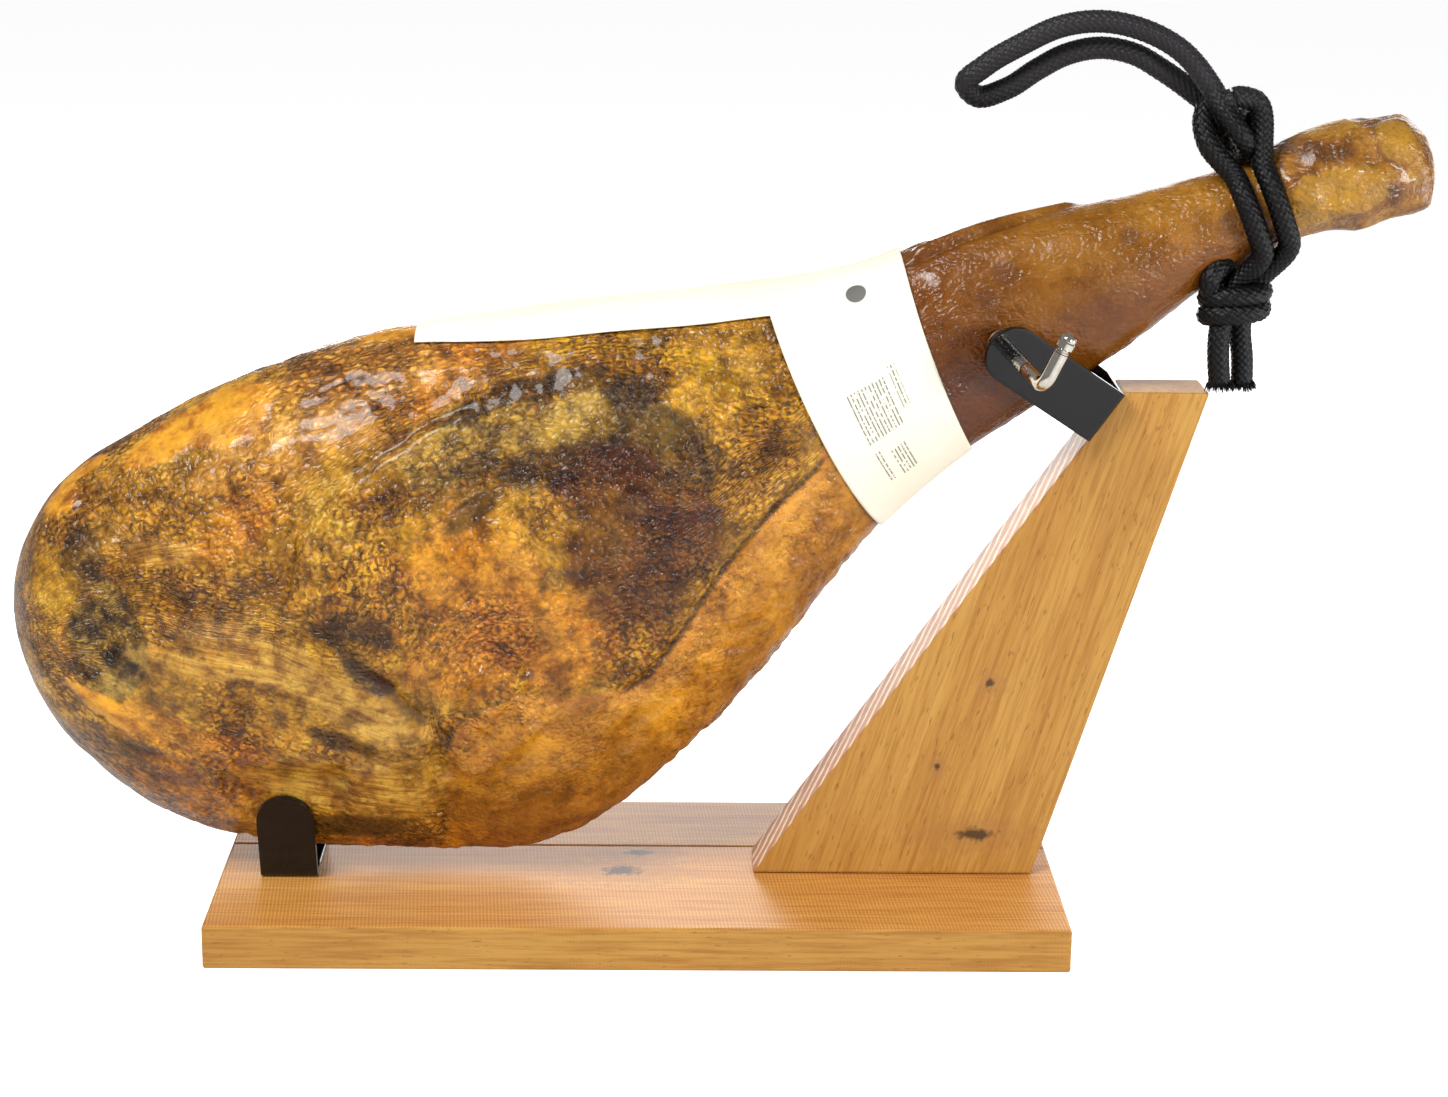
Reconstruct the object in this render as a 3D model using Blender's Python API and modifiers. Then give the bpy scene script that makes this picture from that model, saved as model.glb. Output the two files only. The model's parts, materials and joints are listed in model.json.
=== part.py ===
"""A whole cured ham held in its wooden stand.

The leg rests in a steel cradle on a two-plank base and its shank is pinched in a steel clamp
on top of a slanted post. A paper sleeve is wrapped round the narrow part, and a black cord is
tied round the end of the shank, with a carrying loop above and two cut ends below.
The origin is the centre of the base's underside, X runs along the base to the shank's side,
-Y is the side that the clamp's screw faces, and +Z is up. Everything is in metres.
"""

import math

import bmesh
import bpy
import numpy as np
from mathutils import Matrix, Vector

GAP = 0.0003            # clearance between two solids that touch on the real object

# Base: two planks glued edge to edge
BASE_LENGTH = 0.400
BASE_DEPTH = 0.170
BASE_HEIGHT = 0.021
GLUE_LINE_Y = 0.0213    # where the two planks meet, behind the middle
BASE_EDGE = 0.0012      # rounding of the sawn edges

# Post: one slanted board, standing on edge across the middle of the base
POST_DEPTH = 0.0306
POST_FOOT_X = (0.0544, 0.1888)
POST_HEAD_X = (0.2225, 0.2624)
POST_HEAD_Z = 0.2594

# U-shaped brackets bent from flat steel bar
BAR_WIDTH = 0.027
BAR_THICKNESS = 0.003
BRACKET_DEPTH = 0.048   # outside width over the bracket's two bends
BEND_RADIUS = 0.004     # outside radius of a bend
CRADLE_X = -0.1668
CRADLE_ARM = 0.0476
CRADLE_FLARE = math.radians(18.5)
CRADLE_ROOM_BESIDE = 0.014      # past the bar's sides, where the ham may swell out again
CRADLE_ROOM_ABOVE = 0.010       # and above its arms
CLAMP_ARM = 0.074
CLAMP_FLARE = math.radians(18.0)
CLAMP_HOLE = 0.0605     # from the clamp's seat to the hole that the screw turns in
BAR_TIP_WIDTH = 0.00002         # half width left at the very end of a round arm
SCREW_HEAD_SPACING = 0.016
SCREW_HEAD_RADIUS = 0.0037
SCREW_HEAD_HEIGHT = 0.0022
WELD_DISTANCE = 0.00001         # points closer than this are one

# Clamp screw: a bent rod with a turned knob, and the pad at its inner end
ROD_RADIUS = 0.0034
ROD_CLEARANCE = 0.0004
ROD_REACH = 0.037       # from the arm's outer face to the handle's centreline
ROD_BEND = 0.0055
HANDLE_LENGTH = 0.0265  # from the rod's axis to the knob's end
HANDLE_LEAN = math.radians(11.0)
KNOB_LENGTH = 0.0095
PAD_RADIUS = 0.008
PAD_THICKNESS = 0.0042
PAD_DISTANCE = 0.0105   # from the arm's outer face to the pad's near face

# Cord
CORD_RADIUS = 0.0053
CORD_POINT_STEP = 0.011 # distance between the points of a cord's centreline

# Paper sleeve
PAPER_THICKNESS = 0.0008
PAPER_LIFT = 0.0006     # from the ham's skin to the paper's inner face

# Ham: its sections from the hip end to the trotter end, in millimetres and degrees.
# Each row is the section's centre x and z, its lean, how far it reaches up, down, to the front
# and to the back of the centre, and how square its lower half is (2 is an ellipse).
HAM_STATIONS = (
    (-295.5, 150.0, 0.0, 40, 38, 26, 28, 2.0),
    (-280.0, 149.0, 0.0, 53, 53, 38, 40, 2.0),
    (-262.0, 145.0, 1.0, 71, 71, 46, 50, 1.9),
    (-243.0, 141.5, 2.0, 86, 87, 51, 56, 1.8),
    (-215.0, 141.5, 3.0, 101, 102, 56, 63, 1.7),
    (-182.0, 145.0, 4.0, 113, 114, 60, 68, 1.6),
    (-145.0, 151.0, 5.0, 121, 122, 62, 71, 1.7),
    (-102.0, 159.0, 8.0, 125, 131, 62, 72, 1.8),
    (-75.0, 165.0, 13.0, 124, 134, 60, 70, 1.9),
    (-23.0, 181.5, 25.0, 120, 109, 55, 63, 2.0),
    (25.0, 208.0, 30.0, 103, 85, 48, 54, 2.0),
    (71.5, 236.0, 31.0, 79, 62, 40, 44, 2.0),
    (117.0, 264.0, 30.0, 56, 50, 32, 35, 2.0),
    (164.0, 289.5, 26.5, 46, 44, 26, 28, 2.0),
    (212.0, 312.0, 24.0, 34, 35, 24, 25, 2.0),
    (260.0, 333.5, 24.0, 25, 22, 20, 20, 2.0),
    (284.0, 344.0, 22.0, 23, 20, 19, 19, 2.1),
    (308.0, 353.0, 20.0, 24, 19, 20, 20, 2.2),
    (333.0, 361.0, 18.0, 24, 21, 19, 19, 2.3),
    (361.0, 367.5, 15.0, 18, 20, 15, 15, 2.3),
)
HIP_DOME = 0.026        # length over which the hip end rounds off
TROTTER_DOME = 0.012
HAM_RINGS = 48
HAM_SIDES = 36

# Bumps and hollows of the ham: distance along it, turn round it, how far each spreads along and
# round the skin, and how high it stands, in millimetres but for the turn
HAM_BUMPS = (
    (50, 1.50, 22, 26, 3.0),        # rim of the cut hip bone
    (50, 1.50, 10, 11, -6.0),       # and its hollow
    (24, 0.75, 14, 22, 3.0),        # upper corner of the hip end
    (150, 1.97, 60, 13, -4.0),      # furrow across the cut face
    (196, 2.45, 9, 34, -3.0),       # and down from it beside the rind
    (172, 0.80, 58, 12, 2.5),       # ridge of fat above the cut face
    (250, 1.45, 45, 26, 2.5),       # swell of the thigh muscle
    (553, 1.10, 22, 12, 1.2),       # hock bone under the skin
    (668, 1.75, 9, 12, 2.0),        # knuckles of the trotter
    (690, 1.05, 8, 9, 1.6),
    (664, 3.05, 9, 12, 1.6),
    (684, -1.30, 11, 12, 2.0),
    (655, -2.30, 10, 10, 1.2),
)

STEEL_BLACK = (0.012, 0.012, 0.014)
NICKEL = (0.62, 0.60, 0.56)
BEECH = (0.56, 0.33, 0.13)
CURED_SKIN = (0.36, 0.16, 0.04)
PAPER_WHITE = (0.86, 0.85, 0.80)
CORD_BLACK = (0.012, 0.012, 0.012)


def clear_scene():
    """Start from an empty file."""
    for item in list(bpy.data.objects):
        bpy.data.objects.remove(item, do_unlink=True)


def collection(name):
    """A new collection in the scene."""
    group = bpy.data.collections.new(name)
    bpy.context.scene.collection.children.link(group)
    return group


def material(name, colour, roughness, metallic=0.0):
    """A plain Principled material."""
    surface = bpy.data.materials.new(name)
    surface.use_nodes = True
    shader = surface.node_tree.nodes["Principled BSDF"]
    shader.inputs["Base Color"].default_value = (*colour, 1.0)
    shader.inputs["Roughness"].default_value = roughness
    shader.inputs["Metallic"].default_value = metallic
    return surface


def add_object(group, name, mesh, surface=None):
    """Put a mesh in a collection as a named object."""
    item = bpy.data.objects.new(name, mesh)
    group.objects.link(item)
    if surface:
        mesh.materials.append(surface)
    return item


def mesh_from_bmesh(name, shape, smooth=True):
    """Turn a bmesh into a mesh with outward faces, smooth but for its sharp edges."""
    bmesh.ops.recalc_face_normals(shape, faces=shape.faces)
    mesh = bpy.data.meshes.new(name)
    shape.to_mesh(mesh)
    shape.free()
    if smooth:
        mesh.shade_smooth()
        mesh.set_sharp_from_angle(angle=math.radians(35))
    return mesh


def bevel(item, width, segments=2):
    """Round an object's sharp edges."""
    rounding = item.modifiers.new("rounded edges", "BEVEL")
    rounding.width = width
    rounding.segments = segments
    rounding.limit_method = "ANGLE"
    rounding.angle_limit = math.radians(35)
    return item


def cut(item, cutter):
    """Take the cutter's shape out of an object."""
    boolean = item.modifiers.new("cut by " + cutter.name, "BOOLEAN")
    boolean.operation = "DIFFERENCE"
    boolean.solver = "EXACT"
    boolean.object = cutter
    cutter.hide_render = True
    cutter.display_type = "WIRE"


def spline(knots, values, at):
    """Smooth curve through the values at the knots: cubic pieces that share their slopes."""
    knots = np.asarray(knots, float)
    values = np.asarray(values, float)
    slopes = np.gradient(values, knots, axis=0)
    at = np.clip(np.asarray(at, float), knots[0], knots[-1])
    left = np.clip(np.searchsorted(knots, at, side="right") - 1, 0, len(knots) - 2)
    span = knots[left + 1] - knots[left]
    t = (at - knots[left]) / span
    if values.ndim > 1:
        t = t[..., None]
        span = span[..., None]
    rise = values[left + 1] - values[left]
    start = slopes[left] * span
    end = slopes[left + 1] * span
    bend = 3 * rise - 2 * start - end
    twist = start + end - 2 * rise
    return values[left] + t * start + t ** 2 * bend + t ** 3 * twist


# Ham surface

def ham_table():
    """The stations in metres and radians, and the distance of each along the ham's axis."""
    table = np.array(HAM_STATIONS, float)
    table[:, [0, 1, 3, 4, 5, 6]] *= 0.001
    table[:, 2] = np.radians(table[:, 2])
    steps = np.hypot(np.diff(table[:, 0]), np.diff(table[:, 1]))
    return np.concatenate([[0.0], np.cumsum(steps)]), table


HAM_KNOTS, HAM_TABLE = ham_table()
HAM_LENGTH = HAM_KNOTS[-1]


def dome(distance, length, power=2.2):
    """How full a section is at a distance from a rounded end: 0 at the tip, 1 past its length."""
    inner = 1.0 - np.clip(distance / length, 0.0, 1.0)
    return (1.0 - inner ** power) ** (1.0 / power)


def soft_least(first, second, blend=0.004):
    """The lesser of two lengths, rounded where they cross."""
    gap = np.clip(0.5 + 0.5 * (second - first) / blend, 0.0, 1.0)
    return second + (first - second) * gap - blend * gap * (1.0 - gap)


def cradle_room(x, z):
    """How far from the middle plane the ham may reach between the cradle's flared arms."""
    inside = BRACKET_DEPTH / 2 - BAR_THICKNESS / math.cos(CRADLE_FLARE) - 3 * GAP
    room = inside + np.maximum(z - BASE_HEIGHT, 0.0) * math.tan(CRADLE_FLARE)
    beside = np.maximum(np.abs(x - CRADLE_X) - BAR_WIDTH / 2 - CRADLE_ROOM_BESIDE, 0.0)
    above = np.maximum(z - BASE_HEIGHT - CRADLE_ARM - CRADLE_ROOM_ABOVE, 0.0)
    return room + 1.2 * beside + above


def ham_relief(along, turn, reach):
    """Height of the bumps: each falls off as a bell with distance along and round the skin."""
    height = np.zeros(np.broadcast(along, turn).shape)
    for place, bump_turn, length, width, rise in HAM_BUMPS:
        away_along = (along - place / 1000) / (length / 1000)
        swing = (turn - bump_turn + math.pi) % (2 * math.pi) - math.pi
        away_round = swing * reach / (width / 1000)
        height += rise / 1000 * np.exp(-away_along ** 2 - away_round ** 2)
    return height


def ham_surface(along, turn, lift=0.0):
    """Points of the ham at distances along its axis and angles round it, lifted off the skin.

    A turn of 0 is the section's top, a quarter turn its front. A point's height is the reach
    times cos(turn), and its depth the reach times sin(turn), each to a power that makes the
    section rounder or more pointed.
    """
    along, turn = np.broadcast_arrays(np.asarray(along, float), np.asarray(turn, float))
    row = spline(HAM_KNOTS, HAM_TABLE, along)
    full = dome(along, HIP_DOME) * dome(HAM_LENGTH - along, TROTTER_DOME)
    up_side = np.cos(turn) >= 0
    front_side = np.sin(turn) >= 0
    tall = np.where(up_side, row[..., 3], row[..., 4]) * full
    deep = np.where(front_side, row[..., 5], row[..., 6]) * full
    power = 2.0 / np.where(up_side, 2.0, row[..., 7])
    rise = np.sign(np.cos(turn)) * tall * np.abs(np.cos(turn)) ** power
    out = np.sign(np.sin(turn)) * deep * np.abs(np.sin(turn)) ** power
    normal_rise = np.cos(turn) / np.maximum(tall, 1e-4)
    normal_out = np.sin(turn) / np.maximum(deep, 1e-4)
    reach = np.sqrt(np.maximum(tall * deep, 1e-8))
    offset = lift + ham_relief(along, turn, reach) * np.minimum(full, 1.0)
    scale = offset / np.maximum(np.hypot(normal_rise, normal_out), 1e-9)
    rise = rise + normal_rise * scale
    out = out + normal_out * scale
    x = row[..., 0] - np.sin(row[..., 2]) * rise
    z = row[..., 1] + np.cos(row[..., 2]) * rise
    pressed = soft_least(np.abs(out), cradle_room(x, z))
    return np.stack([x, -np.sign(out) * pressed, z], axis=-1)


def grid_shape(points, around):
    """A bmesh of quads over a grid of points, closed round its second direction if around."""
    shape = bmesh.new()
    rows, columns = points.shape[:2]
    corners = [[shape.verts.new(points[i, j]) for j in range(columns)] for i in range(rows)]
    for i in range(rows - 1):
        for j in range(columns if around else columns - 1):
            k = (j + 1) % columns
            shape.faces.new((corners[i][j], corners[i][k], corners[i + 1][k], corners[i + 1][j]))
    return shape, corners


def ham_rings():
    """Distances of the ham's rings along its axis, closer together at the rounded ends."""
    even = np.linspace(0.0, 1.0, HAM_RINGS)
    body = HIP_DOME + (HAM_LENGTH - HIP_DOME - TROTTER_DOME) * even
    hip = HIP_DOME * (1 - np.cos(np.linspace(0.0, math.pi / 2, 8)))[1:-1]
    trotter = HAM_LENGTH - TROTTER_DOME * (1 - np.cos(np.linspace(math.pi / 2, 0.0, 7)))[1:-1]
    return np.concatenate([hip, body, trotter])


def build_ham(group):
    """The leg: rings of the surface, closed by a point at each end."""
    turns = np.linspace(0.0, 2 * math.pi, HAM_SIDES, endpoint=False)
    points = ham_surface(ham_rings()[:, None], turns[None, :])
    shape, corners = grid_shape(points, around=True)
    for ring, tip_at in ((corners[0], 0.0), (corners[-1], HAM_LENGTH)):
        tip = shape.verts.new(ham_surface(tip_at, 0.0))
        for j in range(HAM_SIDES):
            shape.faces.new((ring[j], ring[(j + 1) % HAM_SIDES], tip))
    mesh = mesh_from_bmesh("ham", shape)
    return add_object(group, "ham", mesh, material("cured ham", CURED_SKIN, 0.35))


# Paper sleeve

SLEEVE_LEFT = (0.4015, 0.0040, 0.0030)      # an edge's distance along the ham at the turn's
SLEEVE_RIGHT = (0.4611, 0.0063, 0.0015)     # middle, and how much it swings once and twice a turn
TONGUE_END = (0.2240, -0.0100)              # distance along the ham and slant of the far end
TONGUE_FRONT = (0.31, 0.63)                 # turn of the tongue's front edge, at its end
TONGUE_BACK = (-0.36, -0.55)                # and at the sleeve; the same for its back edge


def sleeve_edge(edge, turn):
    """Distance along the ham of one edge of the sleeve."""
    return edge[0] + edge[1] * np.cos(turn) + edge[2] * np.cos(2 * turn)


def sleeve_grid():
    """Points of the sleeve and of the tongue that runs from it along the ham's top."""
    share = np.linspace(0.0, 1.0, 8)
    tongue_turns = TONGUE_BACK[1] + (TONGUE_FRONT[1] - TONGUE_BACK[1]) * share
    rest = np.linspace(TONGUE_FRONT[1], 2 * math.pi + TONGUE_BACK[1], 26)[1:-1]
    turns = np.concatenate([tongue_turns, rest])
    left = sleeve_edge(SLEEVE_LEFT, turns)
    right = sleeve_edge(SLEEVE_RIGHT, turns)
    across = np.linspace(0.0, 1.0, 5)[:, None]
    band = ham_surface(left + (right - left) * across, turns, PAPER_LIFT)
    run = np.linspace(0.0, 1.0, 14)[:-1, None]
    front = TONGUE_FRONT[0] + (TONGUE_FRONT[1] - TONGUE_FRONT[0]) * run
    back = TONGUE_BACK[0] + (TONGUE_BACK[1] - TONGUE_BACK[0]) * run
    far = TONGUE_END[0] + TONGUE_END[1] * (share - 0.5)
    near = left[:len(share)]
    tongue = ham_surface(far + (near - far) * run, back + (front - back) * share, PAPER_LIFT)
    return band, tongue


def build_sleeve(group):
    """The paper: a closed band round the ham with a long tongue, thickened outwards."""
    band, tongue = sleeve_grid()
    shape, corners = grid_shape(band, around=True)
    rows, columns = tongue.shape[:2]
    strip = [[shape.verts.new(tongue[i, j]) for j in range(columns)] for i in range(rows)]
    strip.append(corners[0][:columns])
    for i in range(rows):
        for j in range(columns - 1):
            shape.faces.new((strip[i][j], strip[i][j + 1], strip[i + 1][j + 1], strip[i + 1][j]))
    mesh = bpy.data.meshes.new("paper_sleeve")
    shape.to_mesh(mesh)
    shape.free()
    mesh.shade_smooth()
    item = add_object(group, "paper_sleeve", mesh, material("paper", PAPER_WHITE, 0.5))
    thick = item.modifiers.new("paper thickness", "SOLIDIFY")
    thick.thickness = PAPER_THICKNESS
    thick.offset = 1.0
    return item


# Stand

def build_box(group, name, low, high, surface, edge):
    """A sawn board between two corners."""
    shape = bmesh.new()
    low, high = Vector(low), Vector(high)
    size = high - low
    bmesh.ops.create_cube(shape, size=1.0)
    bmesh.ops.scale(shape, vec=size, verts=shape.verts)
    item = add_object(group, name, mesh_from_bmesh(name, shape, smooth=False), surface)
    item.location = (low + high) / 2
    return bevel(item, edge)


def build_base(group, wood):
    """Two planks, side by side."""
    half = BASE_LENGTH / 2
    front = (-half, -BASE_DEPTH / 2, 0.0), (half, GLUE_LINE_Y, BASE_HEIGHT)
    back = (-half, GLUE_LINE_Y + GAP, 0.0), (half, BASE_DEPTH / 2, BASE_HEIGHT)
    build_box(group, "base_plank_front", *front, wood, BASE_EDGE)
    build_box(group, "base_plank_back", *back, wood, BASE_EDGE)


def flat_outline(name, corners, thickness):
    """A board cut to an outline in X and Z, centred on the middle plane."""
    curve = bpy.data.curves.new(name, "CURVE")
    curve.dimensions = "2D"
    curve.fill_mode = "BOTH"
    curve.extrude = thickness / 2
    line = curve.splines.new("POLY")
    line.points.add(len(corners) - 1)
    for point, (x, z) in zip(line.points, corners):
        point.co = (x, z, 0.0, 1.0)
    line.use_cyclic_u = True
    return curve


def mesh_from_curve(group, curve, matrix, surface):
    """A curve turned into a welded mesh object under the same name."""
    guide = bpy.data.objects.new(curve.name + "_guide", curve)
    bpy.context.scene.collection.objects.link(guide)
    guide.matrix_world = matrix
    bpy.context.view_layer.update()
    evaluated = guide.evaluated_get(bpy.context.evaluated_depsgraph_get())
    mesh = bpy.data.meshes.new_from_object(evaluated)
    mesh.materials.clear()
    shape = bmesh.new()
    shape.from_mesh(mesh)
    bmesh.ops.remove_doubles(shape, verts=shape.verts, dist=WELD_DISTANCE)
    bmesh.ops.recalc_face_normals(shape, faces=shape.faces)
    shape.to_mesh(mesh)
    shape.free()
    item = add_object(group, curve.name, mesh, surface)
    item.matrix_world = matrix
    bpy.data.objects.remove(guide)
    return item


def build_post(group, wood):
    """The slanted board that carries the clamp."""
    foot_z = BASE_HEIGHT + GAP
    corners = ((POST_FOOT_X[0], foot_z), (POST_FOOT_X[1], foot_z),
               (POST_HEAD_X[1], POST_HEAD_Z), (POST_HEAD_X[0], POST_HEAD_Z))
    curve = flat_outline("post", corners, POST_DEPTH)
    upright = Matrix.Rotation(math.pi / 2, 4, "X")
    return bevel(mesh_from_curve(group, curve, upright, wood), BASE_EDGE)


def bracket_line(arm, flare):
    """Half of a bracket's bent centreline as (out, up) points and the distance along it.

    It runs from the middle of the seat out to the bend and up the flared arm.
    """
    radius = BEND_RADIUS - BAR_THICKNESS / 2
    swing = math.pi / 2 - flare
    inset = math.cos(flare) - math.tan(flare) * (1 - math.sin(flare))
    corner = BRACKET_DEPTH / 2 - BAR_THICKNESS / 2 * inset
    bend_start = corner - radius * math.tan(swing / 2)
    points = [(0.0, 0.0), (SCREW_HEAD_SPACING / 2, 0.0), (bend_start, 0.0)]
    for step in range(1, 6):
        angle = swing * step / 5
        points.append((bend_start + radius * math.sin(angle), radius * (1 - math.cos(angle))))
    out, up = points[-1]
    straight = arm - (up + BAR_THICKNESS / 2) / math.cos(flare)
    round_start = straight - BAR_WIDTH / 2
    stops = [round_start * 0.5, round_start]
    stops += [round_start + BAR_WIDTH / 2 * math.sin(math.pi / 2 * k / 7) for k in range(1, 8)]
    for stop in stops:
        points.append((out + stop * math.sin(flare), up + stop * math.cos(flare)))
    return points


def build_bracket(group, name, arm, flare, place, surface):
    """A flat bar bent into a U with flared arms and round ends, then thickened."""
    half = bracket_line(arm, flare)
    line = [(-out, up) for out, up in reversed(half[1:])] + half
    end_steps = 7
    shape = bmesh.new()
    columns = 8
    rows = []
    for index, (out, up) in enumerate(line):
        from_end = min(index, len(line) - 1 - index)
        width = BAR_WIDTH / 2
        if from_end < end_steps:
            width *= math.cos(math.pi / 2 * (1 - from_end / end_steps))
        width = max(width, BAR_TIP_WIDTH)
        row = [(-width + 2 * width * k / columns, out, up) for k in range(columns + 1)]
        rows.append([shape.verts.new(point) for point in row])
    for lower, upper in zip(rows[:-1], rows[1:]):
        for k in range(columns):
            shape.faces.new((lower[k], lower[k + 1], upper[k + 1], upper[k]))
    bmesh.ops.remove_doubles(shape, verts=shape.verts, dist=4 * BAR_TIP_WIDTH)
    mesh = mesh_from_bmesh(name, shape)
    item = add_object(group, name, mesh, surface)
    item.matrix_world = place @ Matrix.Translation((0.0, 0.0, GAP + BAR_THICKNESS / 2))
    thick = item.modifiers.new("bar thickness", "SOLIDIFY")
    thick.thickness = BAR_THICKNESS
    thick.offset = 0.0
    thick.use_even_offset = True
    return item


def build_screw_heads(group, name, place, surface):
    """Two domed screw heads on a bracket's seat."""
    for index, side in enumerate((-1, 1)):
        shape = bmesh.new()
        bmesh.ops.create_cone(shape, cap_ends=True, segments=16, radius1=SCREW_HEAD_RADIUS,
                              radius2=SCREW_HEAD_RADIUS * 0.72, depth=SCREW_HEAD_HEIGHT)
        item_name = "%s_screw_%d" % (name, index + 1)
        item = add_object(group, item_name, mesh_from_bmesh(item_name, shape), surface)
        lift = 2 * GAP + BAR_THICKNESS + SCREW_HEAD_HEIGHT / 2
        item.matrix_world = place @ Matrix.Translation((0.0, side * SCREW_HEAD_SPACING / 2, lift))
        bevel(item, 0.0005, segments=1)


def rod_frame():
    """The clamp screw's axis: its place on the arm's outer face, outward, and the arm's own direction."""
    seat = clamp_place()
    arm = Vector((0.0, -math.sin(CLAMP_FLARE), math.cos(CLAMP_FLARE)))
    outward = Vector((0.0, -math.cos(CLAMP_FLARE), -math.sin(CLAMP_FLARE)))
    corner = Vector((0.0, -BRACKET_DEPTH / 2, GAP))
    hole = seat @ (corner + arm * CLAMP_HOLE)
    turn = seat.to_3x3()
    return hole, turn @ outward, turn @ arm


def cradle_place():
    """The cradle's seat on the base: its X is the bar's width, its Z points up."""
    return Matrix.Translation((CRADLE_X, 0.0, BASE_HEIGHT))


def clamp_place():
    """The clamp's seat on the post's slanted edge, flush with the post's head."""
    foot = Vector((POST_FOOT_X[0], 0.0, BASE_HEIGHT))
    head = Vector((POST_HEAD_X[0], 0.0, POST_HEAD_Z))
    slope = (head - foot).normalized()
    outward = Vector((-slope.z, 0.0, slope.x))
    across = outward.cross(slope)
    turn = Matrix((slope, across, outward)).transposed().to_4x4()
    return Matrix.Translation(head - slope * BAR_WIDTH / 2) @ turn


def poly_tube(name, points, radius, resolution=2):
    """A round tube along a line of points."""
    curve = bpy.data.curves.new(name, "CURVE")
    curve.dimensions = "3D"
    curve.bevel_depth = radius
    curve.bevel_resolution = resolution
    curve.use_fill_caps = True
    line = curve.splines.new("POLY")
    line.points.add(len(points) - 1)
    for point, place in zip(line.points, points):
        point.co = (*place, 1.0)
    return curve


def build_clamp_screw(group, cutters, bracket, metal):
    """The bent rod in the clamp's front arm, its knob, and the pad that presses on the shank."""
    hole, outward, arm = rod_frame()
    across = outward.cross(arm)
    if across.x < 0:
        across = -across
    handle = (across * math.cos(HANDLE_LEAN) + arm * math.sin(HANDLE_LEAN)).normalized()
    inner = hole - outward * (PAD_DISTANCE - GAP)
    corner = hole + outward * ROD_REACH
    centre = corner - outward * ROD_BEND + handle * ROD_BEND
    line = [inner, hole + outward * (ROD_REACH - ROD_BEND)]
    for step in range(1, 8):
        angle = math.pi / 2 * step / 8
        line.append(centre + outward * ROD_BEND * math.sin(angle) - handle * ROD_BEND * math.cos(angle))
    line.append(corner + handle * ROD_BEND)
    line.append(corner + handle * (HANDLE_LENGTH - KNOB_LENGTH))
    mesh_from_curve(group, poly_tube("clamp_screw", line, ROD_RADIUS, 4), Matrix.Identity(4), metal)
    knob_foot = corner + handle * (HANDLE_LENGTH - KNOB_LENGTH + GAP)
    build_turned(group, "clamp_knob", knob_foot, handle, knob_profile(), metal)
    pad_foot = hole - outward * (PAD_DISTANCE + PAD_THICKNESS)
    build_turned(group, "clamp_pad", pad_foot, outward, pad_profile(), metal)
    drill = bmesh.new()
    drill_radius = ROD_RADIUS + ROD_CLEARANCE
    bmesh.ops.create_cone(drill, cap_ends=True, segments=24, radius1=drill_radius, radius2=drill_radius,
                          depth=5 * BAR_THICKNESS)
    cutter = add_object(cutters, "clamp_hole_drill", mesh_from_bmesh("clamp_hole_drill", drill))
    cutter.matrix_world = Matrix.Translation(hole) @ outward.to_track_quat("Z", "Y").to_matrix().to_4x4()
    cut(bracket, cutter)


def knob_profile():
    """Radius and height of the knob, from its tip down to its foot."""
    length = KNOB_LENGTH
    wide = ROD_RADIUS * 1.18
    tip = [(wide * math.sin(a), length - wide * (1 - math.cos(a))) for a in np.linspace(0.0, math.pi / 2, 6)]
    return tip + [(wide, 0.0026), (wide * 0.72, 0.0014), (wide * 0.9, 0.0), (0.0, 0.0)]


def pad_profile():
    """Radius and height of the pad, from the collar that holds the rod down to its face."""
    return [(0.0, PAD_THICKNESS), (PAD_RADIUS * 0.5, PAD_THICKNESS), (PAD_RADIUS * 0.55, 0.0026),
            (PAD_RADIUS * 0.94, 0.0020), (PAD_RADIUS, 0.0010), (PAD_RADIUS * 0.96, 0.0), (0.0, 0.0)]


def build_turned(group, name, foot, axis, profile, surface, steps=20):
    """A turned solid: a profile from top to bottom spun round an axis that starts at foot."""
    mesh = bpy.data.meshes.new(name)
    points = [(radius, 0.0, height) for radius, height in profile]
    edges = [(i, i + 1) for i in range(len(points) - 1)]
    mesh.from_pydata(points, edges, [])
    item = add_object(group, name, mesh, surface)
    item.matrix_world = Matrix.Translation(foot) @ axis.to_track_quat("Z", "Y").to_matrix().to_4x4()
    spin = item.modifiers.new("turned", "SCREW")
    spin.angle = 2 * math.pi
    spin.steps = steps
    spin.render_steps = steps
    spin.use_merge_vertices = True
    spin.merge_threshold = 0.00005
    return item


# Cord

LOOP_ROUTE = (          # the carrying loop, out of the upper knot and back into it
    (0.2640, -0.0100, 0.3860), (0.2563, -0.0110, 0.3990), (0.2413, -0.0095, 0.4160),
    (0.2244, -0.0075, 0.4246), (0.2060, -0.0055, 0.4280), (0.1879, -0.0040, 0.4255),
    (0.1702, -0.0025, 0.4170), (0.1541, 0.0000, 0.4068), (0.1460, 0.0030, 0.3985),
    (0.1515, 0.0065, 0.3925), (0.1653, 0.0070, 0.3960), (0.1789, 0.0060, 0.4050),
    (0.1912, 0.0050, 0.4118), (0.2077, 0.0045, 0.4152), (0.2228, 0.0040, 0.4125),
    (0.2359, 0.0040, 0.4054), (0.2534, 0.0030, 0.3934), (0.2630, 0.0020, 0.3860),
)
UPPER_KNOT = ((0.2655, -0.0070, 0.3820), (0.0155, 0.0140, 0.0160))  # centre and half sizes
LOWER_KNOT = ((0.2735, -0.0115, 0.3010), (0.0165, 0.0130, 0.0130))
CORD_LIFT = 0.0008              # from the skin to a strand that lies on it
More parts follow.
